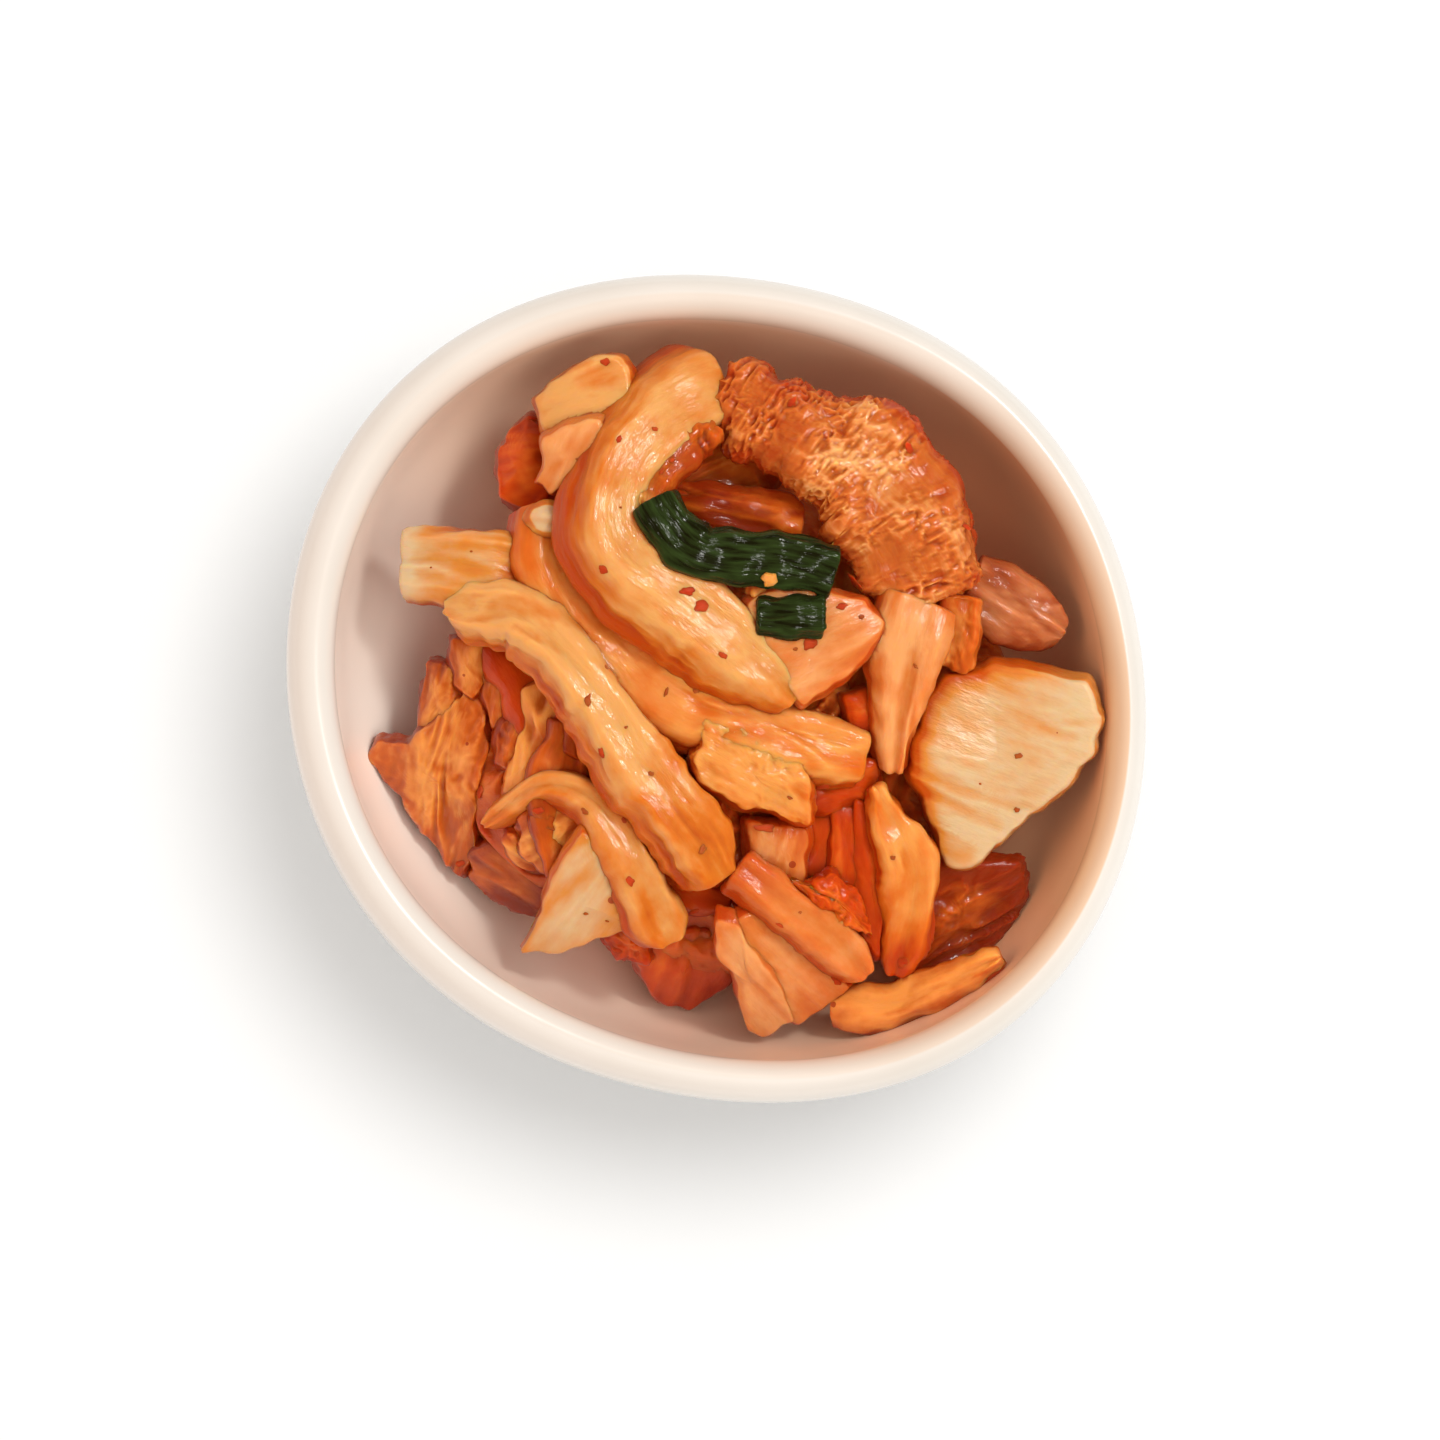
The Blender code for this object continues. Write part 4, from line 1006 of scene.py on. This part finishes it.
# ---------------------------------------------------------------- Ruffled leaf
# The crinkled green part of a leaf, folded over on itself along the back right. It is soaked through,
# bubbled all over and redder at its outer edge and at the end under the arch.
RUFFLED_LEAF = (
    (0.2, 34.6, 39.5, 4, 0, 0.74), (4.7, 32.0, 42, 5.4, 0, 0.69), (10.0, 28.8, 43.4, 6.4, 0, 0.54),
    (15.1, 25.2, 43.9, 7.2, 0, 0.46), (19.8, 20.5, 43.8, 7.8, 0, 0.46), (23.4, 15.3, 43, 7.2, 0, 0.49),
    (26.0, 10.0, 41.5, 5.2, 0, 0.54),
)
PINK_LEAF = (
    (-5.2, 22.3, 38, 1.5, 0, 0.9), (-0.3, 20.9, 39, 3, 0, 0.8), (4.6, 19.8, 39.5, 3.2, 0, 0.75),
    (9.7, 18.6, 39.5, 2.5, 0, 0.8),
)
RUFFLE_SPACING = 0.28
ruffle_finish = cabbage_finish("crinkled_leaf", (224, 166, 104), (192, 104, 42), (164, 54, 14), streaks=0.5,
                               matt=0.26)
rib("pink_leaf", PINK_LEAF, 1.0, fold_finish, 41, contrast=0.4, pleats=(1.2, 0.5), edge=0.5, blunt=0.5,
    **wall_relief)
rib("ruffled_leaf", RUFFLED_LEAF, 5.0, ruffle_finish, 40, fullness=2.4, edge=1.2, crown=0.6,
    lumps=(6.0, 1.3), fibres=(1.0, 0.0), creases=(0.9, 0.36), rims=(0.35, 0.1), pull=(0.9, 2.2, 1.0),
    contrast=0.27, spacing=RUFFLE_SPACING)


# ---------------------------------------------------------------- Spring onion
# Two lengths of the dark green top of a spring onion, wilted flat and wet, on the top of the heap.
ONION_LONG = (
    (-8.5, 20.9, 45.6), (-7.4, 18.9, 46), (-5.5, 16.6, 46), (-2.6, 14.5, 46), (0.9, 14.1, 46),
    (4.9, 14.0, 46), (8.9, 13.4, 45.8), (12.9, 12.4, 45.4),
)
ONION_SHORT = (
    (3.6, 7.6, 45.2), (7.7, 7.5, 45.2), (11.6, 7.5, 45),
)
VEIN_GREEN = (22, 22, 6)
SKIN_GREEN = (46, 62, 26)


def onion_finish():
    """Dark green skin with fine lengthwise veins, a little paler in patches, and wet."""
    finish = bpy.data.materials.new("wet_onion_green")
    finish.use_nodes = True
    nodes, links = finish.node_tree.nodes, finish.node_tree.links
    shader = nodes["Principled BSDF"]
    grain = nodes.new("ShaderNodeAttribute")
    grain.attribute_name = "grain"
    narrow = nodes.new("ShaderNodeVectorMath")
    narrow.operation = "MULTIPLY"
    narrow.inputs[1].default_value = (0.15, 1.0, 1.0)
    links.new(grain.outputs["Vector"], narrow.inputs[0])
    veins = nodes.new("ShaderNodeTexNoise")
    veins.inputs["Scale"].default_value = 1.8
    veins.inputs["Detail"].default_value = 3.0
    links.new(narrow.outputs["Vector"], veins.inputs["Vector"])
    green = nodes.new("ShaderNodeValToRGB")
    green.color_ramp.elements[0].position = 0.35
    green.color_ramp.elements[0].color = paint(VEIN_GREEN)
    green.color_ramp.elements[1].position = 0.75
    green.color_ramp.elements[1].color = paint(SKIN_GREEN)
    links.new(veins.outputs["Fac"], green.inputs["Fac"])
    links.new(green.outputs["Color"], shader.inputs["Base Color"])
    bump = nodes.new("ShaderNodeBump")
    bump.inputs["Strength"].default_value = 0.9
    bump.inputs["Distance"].default_value = 0.0004
    links.new(veins.outputs["Fac"], bump.inputs["Height"])
    links.new(bump.outputs["Normal"], shader.inputs["Normal"])
    shader.inputs["Roughness"].default_value = 0.16
    shader.inputs["Specular IOR Level"].default_value = 0.3
    return finish


green_finish = onion_finish()
onion_relief = dict(fullness=2.6, blunt=0.5, lumps=(2.5, 0.3), fibres=(0.5, 0.08), creases=(1.6, 0.15))
for name, line, half, thick, seed, edge, node in (
        ("spring_onion_long", ONION_LONG, 3.0, 1.8, 42, 0.4, "scallion_long"),
        ("spring_onion_short", ONION_SHORT, 2.4, 1.6, 43, 0.3, "scallion_short")):
    rows = [(x, y, z, half, 0.0, 0.0) for x, y, z in line]
    onion = rib(name, rows, thick, green_finish, seed, edge=edge, **onion_relief)
    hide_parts(node)


# ---------------------------------------------------------------- Chilli flakes
# Flat red flakes of dried chilli skin, one to three millimetres long, softened by the juice and
# stuck to the top pieces. Smaller brown specks of seed and skin lie about between them, and a tan
# crumb of garlic or seed by the spring onion. Rows: x, y, length, width, thickness and turn.
FLAKES = (
    (-4.3, 10.2, 2.29, 0.94, 0.35, 0), (-2.6, 8.5, 1.78, 1.36, 0.35, 20),
    (-14.1, 12.5, 1.27, 0.85, 0.3, -40), (-12.2, 27.7, 0.85, 0.59, 0.3, 60),
    (-0.2, 2.9, 1.02, 0.68, 0.3, -30), (-13.4, 37.3, 1.36, 0.85, 0.3, 10),
    (-21.2, 32.0, 1.27, 0.85, 0.3, 40), (-5.9, 25.6, 0.85, 0.51, 0.3, 30),
    (-7.2, 24.2, 0.94, 0.42, 0.3, 60), (-8.0, 29.1, 0.77, 0.51, 0.3, 0),
    (5.6, -16.2, 2.55, 0.85, 0.3, -5), (13.6, 8.8, 1.27, 0.77, 0.3, 10),
    (9.9, 4.4, 1.7, 1.36, 0.25, 30), (-26.6, -11.2, 1.53, 1.02, 0.3, 60),
    (7.9, 32.4, 1.53, 0.94, 0.3, 60), (21.5, 27.4, 1.7, 0.94, 0.3, -45),
    (28.0, 18.5, 1.87, 1.1, 0.3, -60), (15.6, 11.9, 2.72, 1.7, 0.3, -30),
    (-10.4, -29.7, 1.27, 0.77, 0.3, 0), (-8.3, -30.2, 1.02, 0.77, 0.3, 50),
    (-2.0, -25.5, 1.36, 0.68, 0.3, 50), (-0.3, -27.2, 1.02, 0.68, 0.3, 0),
    (22.1, -31.2, 1.87, 1.19, 0.3, 10), (14.7, -33.3, 1.53, 0.94, 0.3, -35),
    (-28.5, -19.2, 1.19, 0.77, 0.3, 20), (-20.3, -14.0, 1.36, 0.85, 0.3, 20),
    (-13.8, -8.1, 1.36, 0.85, 0.3, 80), (12.4, -11.3, 2.04, 1.19, 0.3, 70),
    (7.2, -27.5, 0.94, 0.51, 0.3, -40), (-10.0, -22.4, 1.36, 0.85, 0.3, -60),
)
SPECKS = (
    (-15.4, -2.1, 1.36, 0.72, 0.3, 80), (-8.1, -10.5, 0.72, 0.56, 0.3, 0),
    (-2.0, -19.0, 1.28, 0.8, 0.3, 50), (-6.2, -0.8, 1.28, 0.48, 0.3, 70),
    (-2.8, -0.7, 0.8, 0.64, 0.3, 0), (-15.3, -14.5, 0.96, 0.64, 0.3, -30),
    (15.9, 7.6, 0.72, 0.56, 0.25, 0), (8.2, 3.8, 0.64, 0.4, 0.25, 0), (34.9, -7.7, 1.04, 0.72, 0.3, 20),
    (35.0, -13.8, 0.64, 0.56, 0.3, 0), (20.4, -19.6, 0.64, 0.56, 0.3, 0),
    (-14.7, -25.9, 0.56, 0.4, 0.25, 0), (-12.2, -26.7, 0.48, 0.32, 0.25, 0),
    (22.4, 2.2, 0.8, 0.4, 0.3, -40), (8.1, -12.9, 0.8, 0.4, 0.3, -20),
    (-11.0, -5.2, 0.4, 0.32, 0.25, 30), (-12.0, 19.8, 0.32, 0.28, 0.2, 0),
    (30.6, -10.9, 0.32, 0.28, 0.2, 0), (-28.5, 15.7, 0.32, 0.24, 0.2, 0),
    (-33.1, 13.9, 0.32, 0.24, 0.2, 0), (9.6, -26.0, 0.4, 0.32, 0.25, 0),
    (-16.7, 25.8, 0.4, 0.32, 0.2, 0),
)
CRUMB = (
    (3.8, 10.6, 2.6, 2.3, 1.9, 40), (4.9, 11.5, 1.9, 1.6, 1.5, 10),
)
ABOVE_ALL = 60.0
SCRAP_LIFT = 0.03
SCRAP_POINTS = 18
SCRAP_ROWS = 9


def scrap(x, y, length, width, thick, turn, seed, under):
    """Rings of a small flat scrap with a ragged outline, lying on whatever is under its spot."""
    place, facing, _, _ = under.ray_cast(Vector((x, y, ABOVE_ALL)) * MM, Vector((0.0, 0.0, -1.0)))
    up = np.array(facing)
    way = np.array([math.cos(math.radians(turn)), math.sin(math.radians(turn)), 0.0])
    way -= up * way.dot(up)
    way /= np.linalg.norm(way)
    beside = np.cross(up, way)
    around = np.linspace(0.0, 2.0 * math.pi, SCRAP_POINTS, endpoint=False)
    lift = np.array(place) / MM + up * SCRAP_LIFT
    ragged = 1.0 + 0.35 * rough(level_rings(around, 1.0, 0.0) * 1.3, seed)
    rings = []
    for share in np.linspace(-0.97, 0.97, SCRAP_ROWS):
        reach = math.sqrt(1.0 - share * share) * ragged
        rings.append(lift + np.outer(reach * np.cos(around) * length / 2.0, way)
                     + np.outer(reach * np.sin(around) * width / 2.0, beside) + up * share * thick / 2.0)
    return np.array(rings)


def tree_of(pieces):
    """The skins of the pieces as one tree for finding what a ray meets."""
    places, faces = [], []
    for piece in pieces:
        start = len(places)
        places.extend(vertex.co.copy() for vertex in piece.data.vertices)
        faces.extend([start + corner for corner in face.vertices] for face in piece.data.polygons)
    return BVHTree.FromPolygons(places, faces)


def scatter(name, scraps, finish, stain, seed, under):
    """One piece of many small scraps, each lying on what is under it."""
    rings = np.array([scrap(*row, seed + number, under) for number, row in enumerate(scraps)])
    piece = skin(name, rings, finish, grain=rings, stain=np.full(rings.shape[:3], stain))
    food.append(piece)


heap_top = tree_of(food)
flake_finish = cabbage_finish("soft_chilli", (208, 82, 34), (192, 58, 18), (160, 34, 10), matt=0.6,
                              wet=0.05)
seed_finish = cabbage_finish("chilli_seed", (192, 100, 42), (172, 76, 28), (140, 52, 16), matt=0.6,
                             wet=0.05)
scatter("chilli_flakes", FLAKES, flake_finish, 0.4, 80, heap_top)
scatter("brown_specks", SPECKS, seed_finish, 0.5, 120, heap_top)
scatter("crumb", CRUMB, tan_finish, 0.2, 150, heap_top)


# ---------------------------------------------------------------- Juice and painted shade in the hollows
# Chilli juice has run down and stayed between the pieces. How closed in each point of the food is
# gets marked on it, and the finishes turn redder and darker there, as sauce and as painted shade.
HOLLOW_REACH = 6.0
HOLLOW_START = 0.2  # how far off the skin a look starts, so that it doesn't meet its own piece's face
HOLLOW_WAYS = [Vector(way).normalized() for way in (
    (0.0, 0.0, 1.0), (0.7, 0.0, 0.7), (-0.7, 0.0, 0.7), (0.0, 0.7, 0.7), (0.0, -0.7, 0.7),
    (0.7, 0.7, 0.35), (-0.7, 0.7, 0.35), (0.7, -0.7, 0.35), (-0.7, -0.7, 0.35))]


def mark_sauce_and_shade(pieces):
    """Writes on every piece, as sauce and painted shade, the share of the ways up that are shut within
    reach.
    """
    tree = tree_of(pieces)
    for piece in pieces:
        shut = np.zeros(len(piece.data.vertices), np.float32)
        for number, vertex in enumerate(piece.data.vertices):
            start = vertex.co + vertex.normal * (HOLLOW_START * MM)
            hits = 0
            for way in HOLLOW_WAYS:
                if tree.ray_cast(start, way, HOLLOW_REACH * MM)[0]:
                    hits += 1
            shut[number] = hits / len(HOLLOW_WAYS)
        layer = piece.data.attributes.new("sauce_and_shade", "FLOAT", "POINT")
        layer.data.foreach_set("value", shut)


mark_sauce_and_shade(food)
